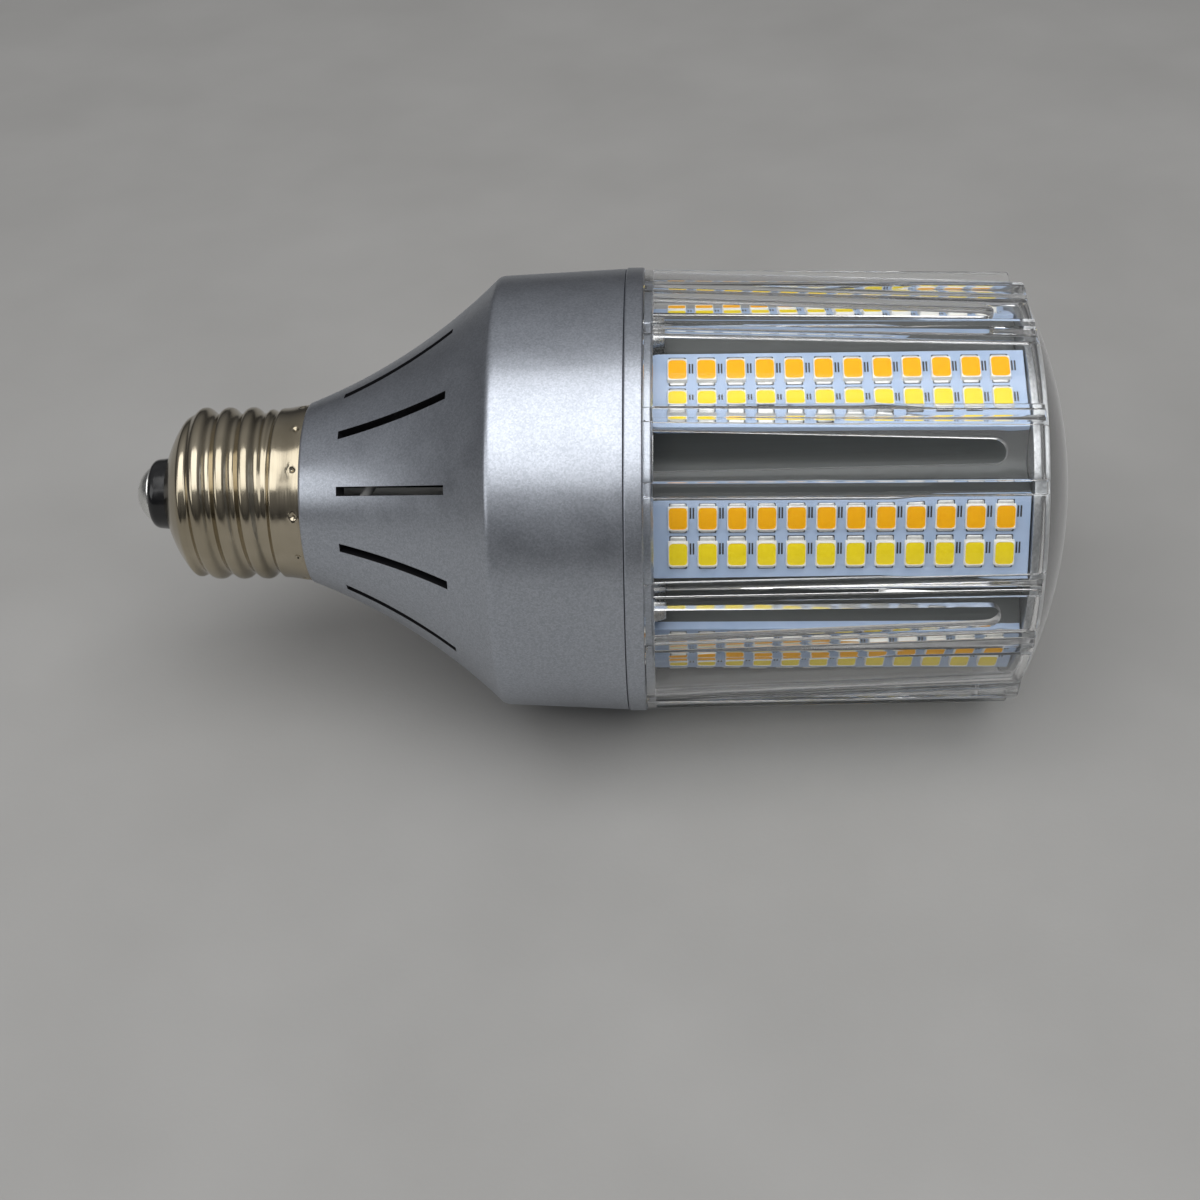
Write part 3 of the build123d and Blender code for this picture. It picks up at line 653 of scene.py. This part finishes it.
for node, finish in (
    ("driver_board", board_green), ("link_board", board_green), ("bulk_capacitor", sleeve_finish),
    ("rectifier", sleeve_finish), ("safety_fuse", sleeve_finish), ("controller_chip", sleeve_finish),
    ("transformer", ferrite_finish), ("filter_choke", ferrite_finish), ("film_capacitor", yellow_finish),
    ("surge_disc", blue_finish), ("output_leads", wire_finish), ("contact_lead", wire_finish),
    ("shell_lead", wire_finish), ("driver_screws", steel_finish), ("core_screws", steel_finish),
):
    frame["nodes"][node].data.materials.clear()
    frame["nodes"][node].data.materials.append(finish)

# Mounting collar: a moulded ring and plate in the same silver paint, with a spigot into the housing.
# Its rim shows as a narrow band behind the cover, and its lip centres the cover's foot.
plate_bottom = 75.6
collar_top = 77.8
lip_top = 78.8
collar_start = 75.15
spigot_end = 71.1
spigot_outside = 30.85
spigot_inside = 29.25
spigot_root = 29.4
spigot_ease = 0.3
collar_radius = 33.3
collar_seat = 31.0
collar_bore = 8.0
collar_ease = 0.35
lip_outside = 30.9
lip_inside = 29.7
lip_ease = 0.25
post_start = 64.9
post_radius = 2.5
post_bore = 1.2
post_circle = 14.5
post_bite = 0.1
collar_sectors = 192

collar_profile = soften([
    (plate_bottom, collar_bore, 0), (collar_top, collar_bore, spigot_ease), (collar_top, lip_inside, 0),
    (lip_top, lip_inside, lip_ease), (lip_top, lip_outside, lip_ease), (collar_top, lip_outside, 0),
    (collar_top, collar_radius, collar_ease), (collar_start, collar_radius, collar_ease),
    (collar_start, collar_seat, 0), (spigot_end, spigot_outside, spigot_ease),
    (spigot_end, spigot_inside, spigot_ease), (plate_bottom, spigot_root, 0),
], steps=5)
posts = [
    standing_tube(post_start, plate_bottom + post_bite, post_radius, post_bore, post_circle, angle)
    for angle in screw_angles
]
collar_mesh = raw_mesh("mounting_collar", *merged(turned(collar_profile, collar_sectors), *posts))
mounting_collar = set_piece("mounting_collar_piece", collar_mesh, silver_finish, crease=40)
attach(mounting_collar, "root")
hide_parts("mounting_collar")

# Collar screws: four plated pan-head screws through the collar into the housing's bosses.
# Each head is cold-formed with a cross recess, and its shank has a rolled thread.
screw_count = 4
screw_shank = 1.4
collar_head = 2.75
collar_head_height = 3.0
collar_screw_length = 12.0


def screw_mesh(head, head_height, shank, length, sectors=32):
    """A pan-head screw along the axis, its seat at zero and its cross recess at the head's end."""
    recess = 0.62 * head
    half_cut = 0.14 * head
    recess_floor = 0.4 * head_height
    recess_taper = 0.8
    brow = 0.45 * head_height
    brow_ease = 0.3
    crown_radius = 0.8 * head
    crown_ease = 0.25
    thread_gap = 0.6
    thread_step = 0.25
    thread_root = 0.78 * shank
    point_length = 1.0
    point_radius = 0.15
    crown = [(0, head, 0), (brow, head, brow_ease), (head_height, crown_radius, crown_ease)]
    head_line = [tuple(point) for point in soften([(0, 0, 0), *crown, (head_height, 0, 0)])[1:-1]]
    threads = np.arange(thread_gap, length - point_length, thread_step)
    shank_line = [(-reach, shank if index % 2 else thread_root) for index, reach in enumerate(threads)]
    profile = [(-length, point_radius), *reversed(shank_line), (0, shank), *head_line]
    angles = np.arange(sectors) * 360 / sectors
    skin = bmesh.new()
    rings = [[skin.verts.new(point) for point in polar(*spot, angles)] for spot in profile]
    for low, high in zip(rings, rings[1:]):
        for sector in range(sectors):
            after = (sector + 1) % sectors
            skin.faces.new((low[sector], low[after], high[after], high[sector]))
    skin.faces.new(rings[0])
    quarter = np.array([(recess, -half_cut), (recess, half_cut), (half_cut, half_cut)])
    quarter_turns = [np.array(((c, s), (-s, c))) for c, s in ((1, 0), (0, 1), (-1, 0), (0, -1))]
    cross = np.concatenate([quarter @ quarter_turn for quarter_turn in quarter_turns])
    brim = [skin.verts.new((head_height, y, z)) for y, z in cross]
    floor = [skin.verts.new((recess_floor, y, z)) for y, z in recess_taper * cross]
    for corner in range(len(brim)):
        skin.faces.new((brim[corner - 1], brim[corner], floor[corner], floor[corner - 1]))
    skin.faces.new(floor)
    pairs = [(loop[corner - 1], loop[corner]) for loop in (rings[-1], brim) for corner in range(len(loop))]
    bmesh.ops.triangle_fill(skin, use_beauty=True, edges=[skin.edges.get(pair) for pair in pairs])
    bmesh.ops.triangulate(skin, faces=[face for face in skin.faces if len(face.verts) > 4])
    bmesh.ops.recalc_face_normals(skin, faces=skin.faces)
    mesh = bpy.data.meshes.new("screw")
    skin.to_mesh(mesh)
    skin.free()
    return mesh


collar_screw = screw_mesh(collar_head, collar_head_height, screw_shank, collar_screw_length)
collar_screws_mesh = ring_of(
    collar_screw, screw_count, screw_angles[0], steel_finish, (collar_top, boss_circle, 0)
)
collar_screws = set_piece("collar_screws_piece", collar_screws_mesh, steel_finish, crease=30)
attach(collar_screws, "root")
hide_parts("collar_screws")

# Heat sink: an extruded aluminium tube with eight flats and hollows between them, sawn to length.
# It stands on the collar, held by four screws from below, and die lines run along its mill finish.
board_count = 8
board_step = 45.0
board_first_angle = -21.3
core_radius = 23.0
core_bore = 20.0
core_start = 77.85
core_end = 130.8
core_ease = 0.15
flat_radius = 25.4
flat_half = 5.8
flat_points = 5
hollow_points = 13

aluminium_finish, tree, shader = new_finish("bare_aluminium")
die_lines = marks(tree, size=0.5, stretch=(0.015, 1, 1))
mill_clouds = marks(tree, size=12.0, stretch=(0.2, 1, 1))
aluminium_tone = tint(tree, mill_clouds, (0.060, 0.064, 0.063), (0.085, 0.090, 0.088))
dress(tree, shader, aluminium_tone, span(tree, die_lines, 0.42, 0.58), die_lines, depth=0.012)
shader.inputs["Metallic"].default_value = 0.4

flat_edge = math.degrees(math.atan2(flat_half, flat_radius))
edge_reach = math.hypot(flat_half, flat_radius)
section_line = []
for board_angle in board_first_angle + board_step * np.arange(board_count):
    for turn in np.linspace(-flat_edge, flat_edge, flat_points):
        section_line.append((flat_radius / math.cos(math.radians(turn)), board_angle + turn))
    for share in np.linspace(-1, 1, hollow_points)[1:-1]:
        turn = board_step / 2 + (board_step / 2 - flat_edge) * share
        section_line.append((core_radius + (edge_reach - core_radius) * share ** 2, board_angle + turn))
section_radii, section_angles = np.array(section_line).T
core_rings = [
    polar(core_start, section_radii, section_angles),
    polar(core_end - core_ease, section_radii, section_angles),
    polar(core_end, section_radii - core_ease, section_angles),
    polar(core_end, core_bore + core_ease, section_angles),
    polar(core_end - core_ease, core_bore, section_angles),
    polar(core_start, core_bore, section_angles),
]
core_faces = ring_faces(len(core_rings), len(section_line))
core_mesh = raw_mesh("heat_sink", np.concatenate(core_rings), core_faces)
heat_sink = set_piece("heat_sink_piece", core_mesh, aluminium_finish, crease=25)
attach(heat_sink, "root")
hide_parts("heat_sink")

# LED boards: eight aluminium-backed boards with white solder mask, each bonded to a flat of the heat sink.
# The corners at the collar are rounded, and a tab from each passes through the collar to the link board.
board_face = 26.6
board_thickness = 1.2
board_foot = 77.9
board_end = 130.6
board_half = 6.0
board_corner = 2.0
corner_points = 7
tab_half = 3.5
tab_end = 72.0
edge_ease = 0.08

corner_turns = np.radians(np.linspace(0, 90, corner_points))
corner_stations = board_foot + board_corner * (1 - np.sin(corner_turns))
corner_sides = board_half - board_corner * (1 - np.cos(corner_turns))
half_outline = [
    (board_end, board_half), *zip(corner_stations, corner_sides),
    (board_foot, tab_half), (tab_end, tab_half),
]
board_outline = half_outline + [(station, -across) for station, across in reversed(half_outline)]


def stacked(name, rings):
    """A closed form between a stack of rings that have the same count of points."""
    count = len(rings[0])
    faces = []
    for low in range(0, (len(rings) - 1) * count, count):
        for corner in range(count):
            after = (corner + 1) % count
            faces.append((low + corner, low + after, low + count + after, low + count + corner))
    faces += [tuple(range(count)), tuple(range((len(rings) - 1) * count, len(rings) * count))]
    return raw_mesh(name, np.concatenate(rings), faces)


def plate_rings(outline, top, bottom, ease):
    """Rings of a flat plate that faces the side, with an eased edge round its top."""
    outline = np.array(outline)
    before = outline - np.roll(outline, 1, axis=0)
    after = np.roll(outline, -1, axis=0) - outline
    run = before / np.linalg.norm(before, axis=1)[:, None] + after / np.linalg.norm(after, axis=1)[:, None]
    inwards = np.stack((run[:, 1], -run[:, 0]), axis=1) / np.linalg.norm(run, axis=1)[:, None]
    if np.sum((outline - outline.mean(axis=0)) * inwards) > 0:
        inwards = -inwards
    rings = []
    for level, inset in ((bottom, 0), (top - ease, 0), (top, ease)):
        line = outline + inwards * inset
        rings.append(np.stack((line[:, 0], np.full(len(line), level), line[:, 1]), axis=1))
    return rings


mask_finish, tree, shader = new_finish("white_board")
mask_tone = tint(tree, marks(tree, size=3.5), (0.38, 0.49, 0.68), (0.44, 0.54, 0.72))
mask_gloss = span(tree, marks(tree, size=0.5), 0.45, 0.60)
mask_grain = marks(tree, size=0.9, stretch=(0.3, 1, 1))
dress(tree, shader, mask_tone, mask_gloss, mask_grain, depth=0.012)
shader.inputs["Specular IOR Level"].default_value = 0.3
board_rings = plate_rings(board_outline, board_face, board_face - board_thickness, edge_ease)
boards_mesh = ring_of(stacked("led_board", board_rings), board_count, board_first_angle, mask_finish)
led_boards = set_piece("led_boards_piece", boards_mesh, mask_finish, crease=30)
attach(led_boards, "root")
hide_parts(*[f"led_board_{number}" for number in range(1, board_count + 1)])

# Emitters: on each board a row of warm and a row of cool surface-mount LEDs, machine placed and reflowed.
# Each is a white moulded frame round a phosphor window, with a bright solder joint at each end
# and plain printed marks beside it.
led_count = 12
led_first = 82.5
led_pitch = 4.06
led_half_width = 1.4
led_half_length = 1.75
led_height = 0.75
led_draft = 0.05
led_foot_corner = 0.15
led_rim_corner = 0.2
side_wall = 0.14
end_wall = 0.20
window_corner = 0.5
window_drop = 0.06
window_play = 0.01
window_bed = 0.05
window_crown = 0.03
window_crown_inset = 0.25
warm_row = -2.9
cool_row = 2.15
low_joint_gap = 0.22
high_joint_lap = 0.02
joint_places = (-led_half_length - low_joint_gap, led_half_length - high_joint_lap)
mark_shifts = (1.72, 2.12)
mark_rise = -0.6
# Each level is a height over the board, a half width, a half length and a corner radius.
joint_levels = ((0.0, 1.1, 0.4, 0.25), (0.06, 1.08, 0.38, 0.25), (0.12, 0.98, 0.28, 0.2))
# A black rim, a little larger than each solder joint, lies under it and shows as a dark outline round it.
joint_rim_levels = ((0.0, 1.2, 0.48, 0.12), (0.02, 1.2, 0.48, 0.12))
mark_levels = ((0.0, 0.12, 0.8, 0.03), (0.008, 0.12, 0.8, 0.03))


def rounded_box(level, half_width, half_length, corner, steps=3):
    """A rectangle with rounded corners at a height above a board, as a closed line."""
    line = []
    for turn, (x, z) in enumerate(((1, 1), (-1, 1), (-1, -1), (1, -1))):
        for angle in np.radians(90 * turn + np.linspace(0, 90, steps)):
            along_x = x * (half_width - corner) + corner * math.cos(angle)
            line.append((along_x, level, z * (half_length - corner) + corner * math.sin(angle)))
    return np.array(line)


def on_boards(name, levels, finish, spots):
    """Copies of a low form of stacked rounded rectangles, at each spot beside every LED of a row."""
    meshes = []
    for shift, across in spots:
        form = stacked(name, [rounded_box(*level) for level in levels])
        start = (led_first + shift, board_face, across)
        meshes.append(ring_of(form, board_count, board_first_angle, finish, start, led_count, led_pitch))
    return joined(name, meshes)


def phosphor(name, deep, light):
    """Silicone filled with phosphor: a soft glow of colour with small grains in it."""
    finish, tree, shader = new_finish(name)
    grains = marks(tree, size=0.35)
    gloss = span(tree, marks(tree, size=0.2), 0.42, 0.6)
    dress(tree, shader, tint(tree, grains, deep, light), gloss, grains, depth=0.01)
    shader.inputs["Specular IOR Level"].default_value = 0.1
    return finish


def level_in(height, inset, corner):
    """A level of the LED's frame, drawn in from its foot."""
    return height, led_half_width - inset, led_half_length - inset, corner


def window_level(height, inset):
    """A level of the LED's window, drawn in from its opening."""
    return height, led_half_width - side_wall - inset, led_half_length - end_wall - inset, window_corner


window_floor = led_height - window_drop
frame_levels = (
    level_in(0.0, 0.0, led_foot_corner), level_in(led_height - led_draft, led_draft, led_rim_corner),
    level_in(led_height, 2 * led_draft, led_rim_corner), window_level(led_height, 0.0),
    window_level(window_floor - window_bed, 2 * window_play),
)
window_levels = (
    window_level(window_floor - window_bed - window_play, window_play),
    window_level(window_floor, window_play), window_level(led_height - window_crown, window_crown_inset),
)
rows = (warm_row, cool_row)
frame_finish = moulded(
    "led_frame", (0.82, 0.79, 0.72), (0.90, 0.87, 0.80), (0.35, 0.5), grain=0.4, depth=0.01
)
frames_mesh = on_boards("led_frames", frame_levels, frame_finish, [(0, row) for row in rows])
led_frames = set_piece("led_frames", frames_mesh, frame_finish, crease=40)
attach(led_frames, "root")

warm_finish = phosphor("warm_phosphor", (0.94, 0.41, 0.002), (1.0, 0.49, 0.004))
cool_finish = phosphor("cool_phosphor", (0.86, 0.65, 0.010), (0.94, 0.74, 0.020))
for row_name, row, finish in (("warm", warm_row, warm_finish), ("cool", cool_row, cool_finish)):
    windows_mesh = on_boards(f"{row_name}_windows", window_levels, finish, [(0, row)])
    windows = set_piece(f"{row_name}_leds_windows", windows_mesh, finish, crease=40)
    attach(windows, "root")
    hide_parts(*[f"{row_name}_leds_{number}" for number in range(1, board_count + 1)])

pad_finish = metal(
    "reflowed_solder", dull=(0.70, 0.70, 0.69), bright=(0.86, 0.86, 0.85), gloss=(0.36, 0.52),
    grain=0.2, depth=0.01, clouds=0.6,
)
ink_finish = moulded(
    "board_ink", (0.02, 0.02, 0.022), (0.06, 0.06, 0.065), (0.4, 0.6), grain=0.3, depth=0.01
)
joint_spots = [(0, row + place) for row in rows for place in joint_places]
mark_spots = [(shift, row + mark_rise) for row in rows for shift in mark_shifts]
for small_name, levels, finish, spots, slot_name in (
    ("solder_joints", joint_levels, pad_finish, joint_spots, "solder"),
    ("dark_joint_rims", joint_rim_levels, ink_finish, joint_spots, "black_insulator"),
    ("print_marks", mark_levels, ink_finish, mark_spots, "black_insulator"),
):
    small_piece = set_piece(small_name, on_boards(small_name, levels, finish, spots), finish, crease=40)
    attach(small_piece, "root")

# End plate: a turned aluminium disc on the head end of the heat sink, held by four pan-head screws.
# Its bright edge shows beyond the boards, under the dome.
plate_start = 130.85
plate_end = 132.4
plate_radius = 27.5
plate_ease = (0.15, 0.2)
plate_sectors = 128
plate_screw_circle = 22.3
plate_head = 2.4
plate_head_height = 1.2
plate_screw_length = 7.0

plate_profile = soften([
    (plate_start, 0, 0), (plate_start, plate_radius, plate_ease[0]),
    (plate_end, plate_radius, plate_ease[1]), (plate_end, 0, 0),
], steps=3)
plate_finish = metal(
    "plate_edge", dull=(0.40, 0.41, 0.42), bright=(0.60, 0.61, 0.62), gloss=(0.3, 0.5),
    grain=0.3, depth=0.02, clouds=0.5,
)
plate_mesh = raw_mesh("end_plate", *turned(plate_profile, plate_sectors))
end_plate = set_piece("end_plate_piece", plate_mesh, plate_finish)
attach(end_plate, "root")
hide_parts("end_plate")

plate_screw = screw_mesh(plate_head, plate_head_height, screw_shank, plate_screw_length)
plate_screws_mesh = ring_of(
    plate_screw, screw_count, board_first_angle, steel_finish, (plate_end, plate_screw_circle, 0)
)
plate_screws = set_piece("end_plate_screws_piece", plate_screws_mesh, steel_finish, crease=30)
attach(plate_screws, "root")
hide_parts("end_plate_screws")

# Clear cover: one polycarbonate moulding with a flange, a drafted wall and a low domed head.
# Two ribs stand beside each board, taller towards the head, and a tapered slot over each gap lets heat out.
cover_first_angle = -22.5
cover_foot = 77.8
flange_top = 79.2
flange_radius = 33.0
flange_ease = 0.15
flange_step = 0.25
flange_chamfer = 0.07
cover_foot_radius = 32.65
cover_rim_radius = 30.45
cover_rim = 132.1
cover_apex = 139.8
cover_wall = 1.6
wall_rings = 7
head_rings = 6
dome_wall = 1.4
rim_ease = 0.35
rim_gap = 0.6
dome_steps = np.array((0.8, 1.0, 1.3))
dome_start = 2.5
dome_rings = 18
rib_angle = 13.0
rib_half = 1.0
rib_foot_height = 0.45
rib_rim_height = 1.7
rib_depth = 0.6
rib_end = 132.55
rib_end_ease = 0.85
inner_rib_end = 132.1
inner_rib_ease = 0.5
slot_foot_half = 2.85
slot_head_half = 1.8
slot_head = 125.2
slot_end = 127.0
slot_fade = 3.0
slot_columns = 5
board_columns = 10
least_hold = 26.0
# A rib's flank and half its top, as shares of its half width and of its height.
rib_flank = (
    (-1.14, 0.0), (-1.04, 0.08), (-0.98, 0.3), (-0.96, 0.62), (-0.9, 0.88), (-0.74, 1.0), (-0.25, 1.0),
)


def wall_radius(stations):
    """The drafted wall's outside."""
    share = (np.asarray(stations) - cover_foot) / (cover_rim - cover_foot)
    return cover_foot_radius + (cover_rim_radius - cover_foot_radius) * share


def dome_line(apex, rim_radius):
    """Stations and radii of a low dome from just inside its rim, with close rings there, to its apex."""
    reaches = np.concatenate((rim_radius - dome_steps, np.linspace(rim_radius - dome_start, 0, dome_rings)))
    rise = apex - cover_rim
    arc = (rim_radius ** 2 + rise ** 2) / (2 * rise)
    return np.stack((apex - arc + np.sqrt(arc ** 2 - reaches ** 2), reaches), axis=1)


slot_turns = np.radians((0, 18, 36, 52, 66, 78, 90))
slot_head_stations = slot_head + (slot_end - slot_head) * np.sin(slot_turns)
wall_stations = np.concatenate((
    [flange_top, flange_top + flange_step], np.linspace(flange_top, slot_head, wall_rings)[1:-1],
    slot_head_stations, np.linspace(slot_end, cover_rim - rim_gap, head_rings)[1:],
))
outer_wall = np.stack((wall_stations, wall_radius(wall_stations)), axis=1)
inner_wall = outer_wall - (0, cover_wall)
inner_rim_radius = cover_rim_radius - cover_wall
outer_dome = dome_line(cover_apex, cover_rim_radius)
inner_dome = dome_line(cover_apex - dome_wall, inner_rim_radius)
rim_corner = [(*outer_wall[-1], 0), (cover_rim, cover_rim_radius, rim_ease), (*outer_dome[0], 0)]
outer_rim = soften(rim_corner)[1:-1]
foot_line = np.array([
    (cover_foot, cover_foot_radius - cover_wall), (cover_foot, flange_radius - flange_ease),
    (cover_foot + flange_ease, flange_radius), (flange_top - flange_step, flange_radius),
    (flange_top - flange_chamfer, flange_radius - flange_chamfer),
])
cover_outside = np.concatenate((foot_line, outer_wall, outer_rim, outer_dome))
cover_line = np.concatenate((cover_outside, inner_dome[::-1], inner_wall[::-1]))
stations, radii = cover_line.T
is_outer = np.arange(len(cover_line)) < len(cover_outside)
wall_share = np.clip((stations - cover_foot) / (cover_rim - cover_foot), 0, 1)
outer_ribs = rib_foot_height + (rib_rim_height - rib_foot_height) * wall_share
outer_ribs = outer_ribs * smoothstep((rib_end - stations) / rib_end_ease)
inner_ribs = -rib_depth * smoothstep((inner_rib_end - stations) / inner_rib_ease)
rib_lift = np.where(is_outer, outer_ribs, inner_ribs) * (stations >= flange_top)
# A width becomes an angle at its ring's radius, held up on the dome so that the columns stay apart.
hold = np.clip(radii, least_hold, None)
slot_taper = np.clip((stations - flange_top) / (slot_head - flange_top), 0, 1)
slot_half = slot_foot_half + (slot_head_half - slot_foot_half) * slot_taper
slot_half = slot_half * np.sqrt(1 - np.clip((stations - slot_head) / (slot_end - slot_head), 0, 1) ** 2)
past_slot = slot_head_half * smoothstep((stations - slot_end) / slot_fade)
slot_half = np.where(stations > slot_end, past_slot, slot_half)
slot_edge = np.degrees(np.arcsin(slot_half / hold))
half_step = board_step / 2
rib_line = rib_flank + tuple((-offset, lift) for offset, lift in reversed(rib_flank))
# One cell spans a board with its two ribs and the slot beside it, and the ring repeats it.
columns, lifts = [], []
for rib_side in (-1, 1):
    for offset, lift in rib_line:
        columns.append(rib_side * rib_angle + np.degrees(np.arcsin(offset * rib_half / hold)))
        lifts.append(lift)
    if rib_side < 0:
        rib_gap = -columns[-1]
        columns += [rib_gap * share for share in np.linspace(-1, 1, board_columns)[1:-1]]
        lifts += [0] * (len(columns) - len(lifts))
columns.append((columns[-1] + half_step - slot_edge) / 2)
slot_column = len(columns)
columns += [half_step + slot_edge * share for share in np.linspace(-1, 1, slot_columns)]
columns.append((board_step + columns[0] + half_step + slot_edge) / 2)
columns.append(board_step + columns[0])
lifts += [0] * (len(columns) - len(lifts))
cell_angles = np.stack(columns, axis=1)
cell_points = polar(stations[:, None], radii[:, None] + rib_lift[:, None] * np.array(lifts), cell_angles)
first_ring = len(foot_line)
last_ring = first_ring + int(np.argmin(np.abs(wall_stations - slot_end)))
cell_faces = pierced_faces(
    *cell_angles.shape, (slot_column, slot_column + slot_columns - 1),
    first_ring, last_ring, first_ring + len(cover_line) - 1,
)

clear_finish, tree, shader = new_finish("clear_polycarbonate")
shader.inputs["Transmission Weight"].default_value = 1.0
shader.inputs["IOR"].default_value = 1.5
shader.inputs["Sheen Weight"].default_value = 0.4
shader.inputs["Sheen Roughness"].default_value = 0.4
shader.inputs["Specular Tint"].default_value = (0.4, 0.4, 0.4, 1)
moulding_marks = marks(tree, size=6.0, stretch=(0.15, 1, 1))
clear_tone = tint(tree, moulding_marks, (0.965, 0.972, 0.975), (0.985, 0.99, 0.992))
dress(tree, shader, clear_tone, span(tree, moulding_marks, 0.0, 0.03), moulding_marks, depth=0.02)
rays = add_node(tree, "ShaderNodeLightPath")
clear_path = add_node(tree, "ShaderNodeBsdfTransparent", {"Color": (0.94, 0.95, 0.955, 1)})
glass = add_node(tree, "ShaderNodeMixShader", {
    "Fac": rays.outputs["Is Shadow Ray"], 1: shader.outputs["BSDF"], 2: clear_path.outputs["BSDF"],
})
tree.links.new(glass.outputs["Shader"], tree.nodes["Material Output"].inputs["Surface"])
cover_cell = raw_mesh("clear_cover", cell_points.reshape(-1, 3), cell_faces)
cover_mesh = welded(ring_of(cover_cell, board_count, cover_first_angle, clear_finish))
clear_cover = set_piece("clear_cover_piece", cover_mesh, clear_finish, crease=40)
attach(clear_cover, "root")
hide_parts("clear_cover")

# Studio: a pale floor, a large soft box overhead on the camera's side, a small one on the left for fill,
# and a dim grey room. The camera stands where the photograph was taken from.
floor_reach = 3.0
floor_corners = [(x * floor_reach, y * floor_reach, 0) for x, y in ((-1, -1), (1, -1), (1, 1), (-1, 1))]
floor_mesh = bpy.data.meshes.new("floor")
floor_mesh.from_pydata(floor_corners, [], [(0, 1, 2, 3)])
floor_finish, tree, shader = new_finish("floor")
floor_tone = tint(tree, marks(tree, size=40.0), (0.405, 0.40, 0.388), (0.445, 0.44, 0.428))
tree.links.new(floor_tone, shader.inputs["Base Color"])
shader.inputs["Roughness"].default_value = 0.7
relief(tree, shader, marks(tree, size=0.8), depth=0.02)
floor_mesh.materials.append(floor_finish)
floor = bpy.data.objects.new("floor", floor_mesh)
bpy.context.scene.collection.objects.link(floor)

room = bpy.data.worlds.new("room")
room.use_nodes = True
tree = room.node_tree
direction = add_node(tree, "ShaderNodeTexCoord").outputs["Generated"]
height = add_node(tree, "ShaderNodeSeparateXYZ", {0: direction}).outputs["Z"]
room_tone = tint(tree, height, (0.05, 0.05, 0.052), (0.34, 0.34, 0.345), start=0.1, end=0.9)
seen = add_node(tree, "ShaderNodeLightPath").outputs["Is Camera Ray"]
backdrop = (0.42, 0.42, 0.42, 1)
tree.links.new(blend(tree, seen, room_tone, backdrop), tree.nodes["Background"].inputs["Color"])
bpy.context.scene.world = room

lamp_aim = Vector((0.0, 0.0, 0.03))
for lamp_name, lamp_place, lamp_width, lamp_depth, lamp_power in (
    ("overhead_box", (0.02, -0.28, 0.76), 1.0, 0.82, 4.7),
    ("left_fill", (-0.75, -0.45, 0.50), 0.5, 0.5, 1.1),
):
    lamp = bpy.data.lights.new(lamp_name, "AREA")
    lamp.shape = "RECTANGLE"
    lamp.size = lamp_width
    lamp.size_y = lamp_depth
    lamp.energy = lamp_power
    soft_box = bpy.data.objects.new(lamp_name, lamp)
    soft_box.location = lamp_place
    soft_box.rotation_euler = (lamp_aim - soft_box.location).to_track_quat("-Z", "Y").to_euler()
    bpy.context.scene.collection.objects.link(soft_box)

sensor_width = 36.0
photo_width = 1200
focal_pixels = 1894.9
camera_place = (0.01742, -0.23454, 0.20020)
camera_turns = (-4.35, 38.63, -4.30)
camera_data = bpy.data.cameras.new("camera")
camera_data.sensor_width = sensor_width
camera_data.lens = sensor_width * focal_pixels / photo_width
camera_data.clip_start = 0.01
camera = bpy.data.objects.new("camera", camera_data)
camera.location = camera_place
yaw, pitch, roll = (math.radians(turn) for turn in camera_turns)
forward = Vector((math.sin(yaw) * math.cos(pitch), math.cos(yaw) * math.cos(pitch), -math.sin(pitch)))
level = Vector((math.cos(yaw), -math.sin(yaw), 0))
right = level * math.cos(roll) + level.cross(forward) * math.sin(roll)
camera.rotation_euler = Matrix((right, right.cross(forward), -forward)).transposed().to_euler()
bpy.context.scene.collection.objects.link(camera)
bpy.context.scene.camera = camera
bpy.context.scene.view_settings.view_transform = "Standard"
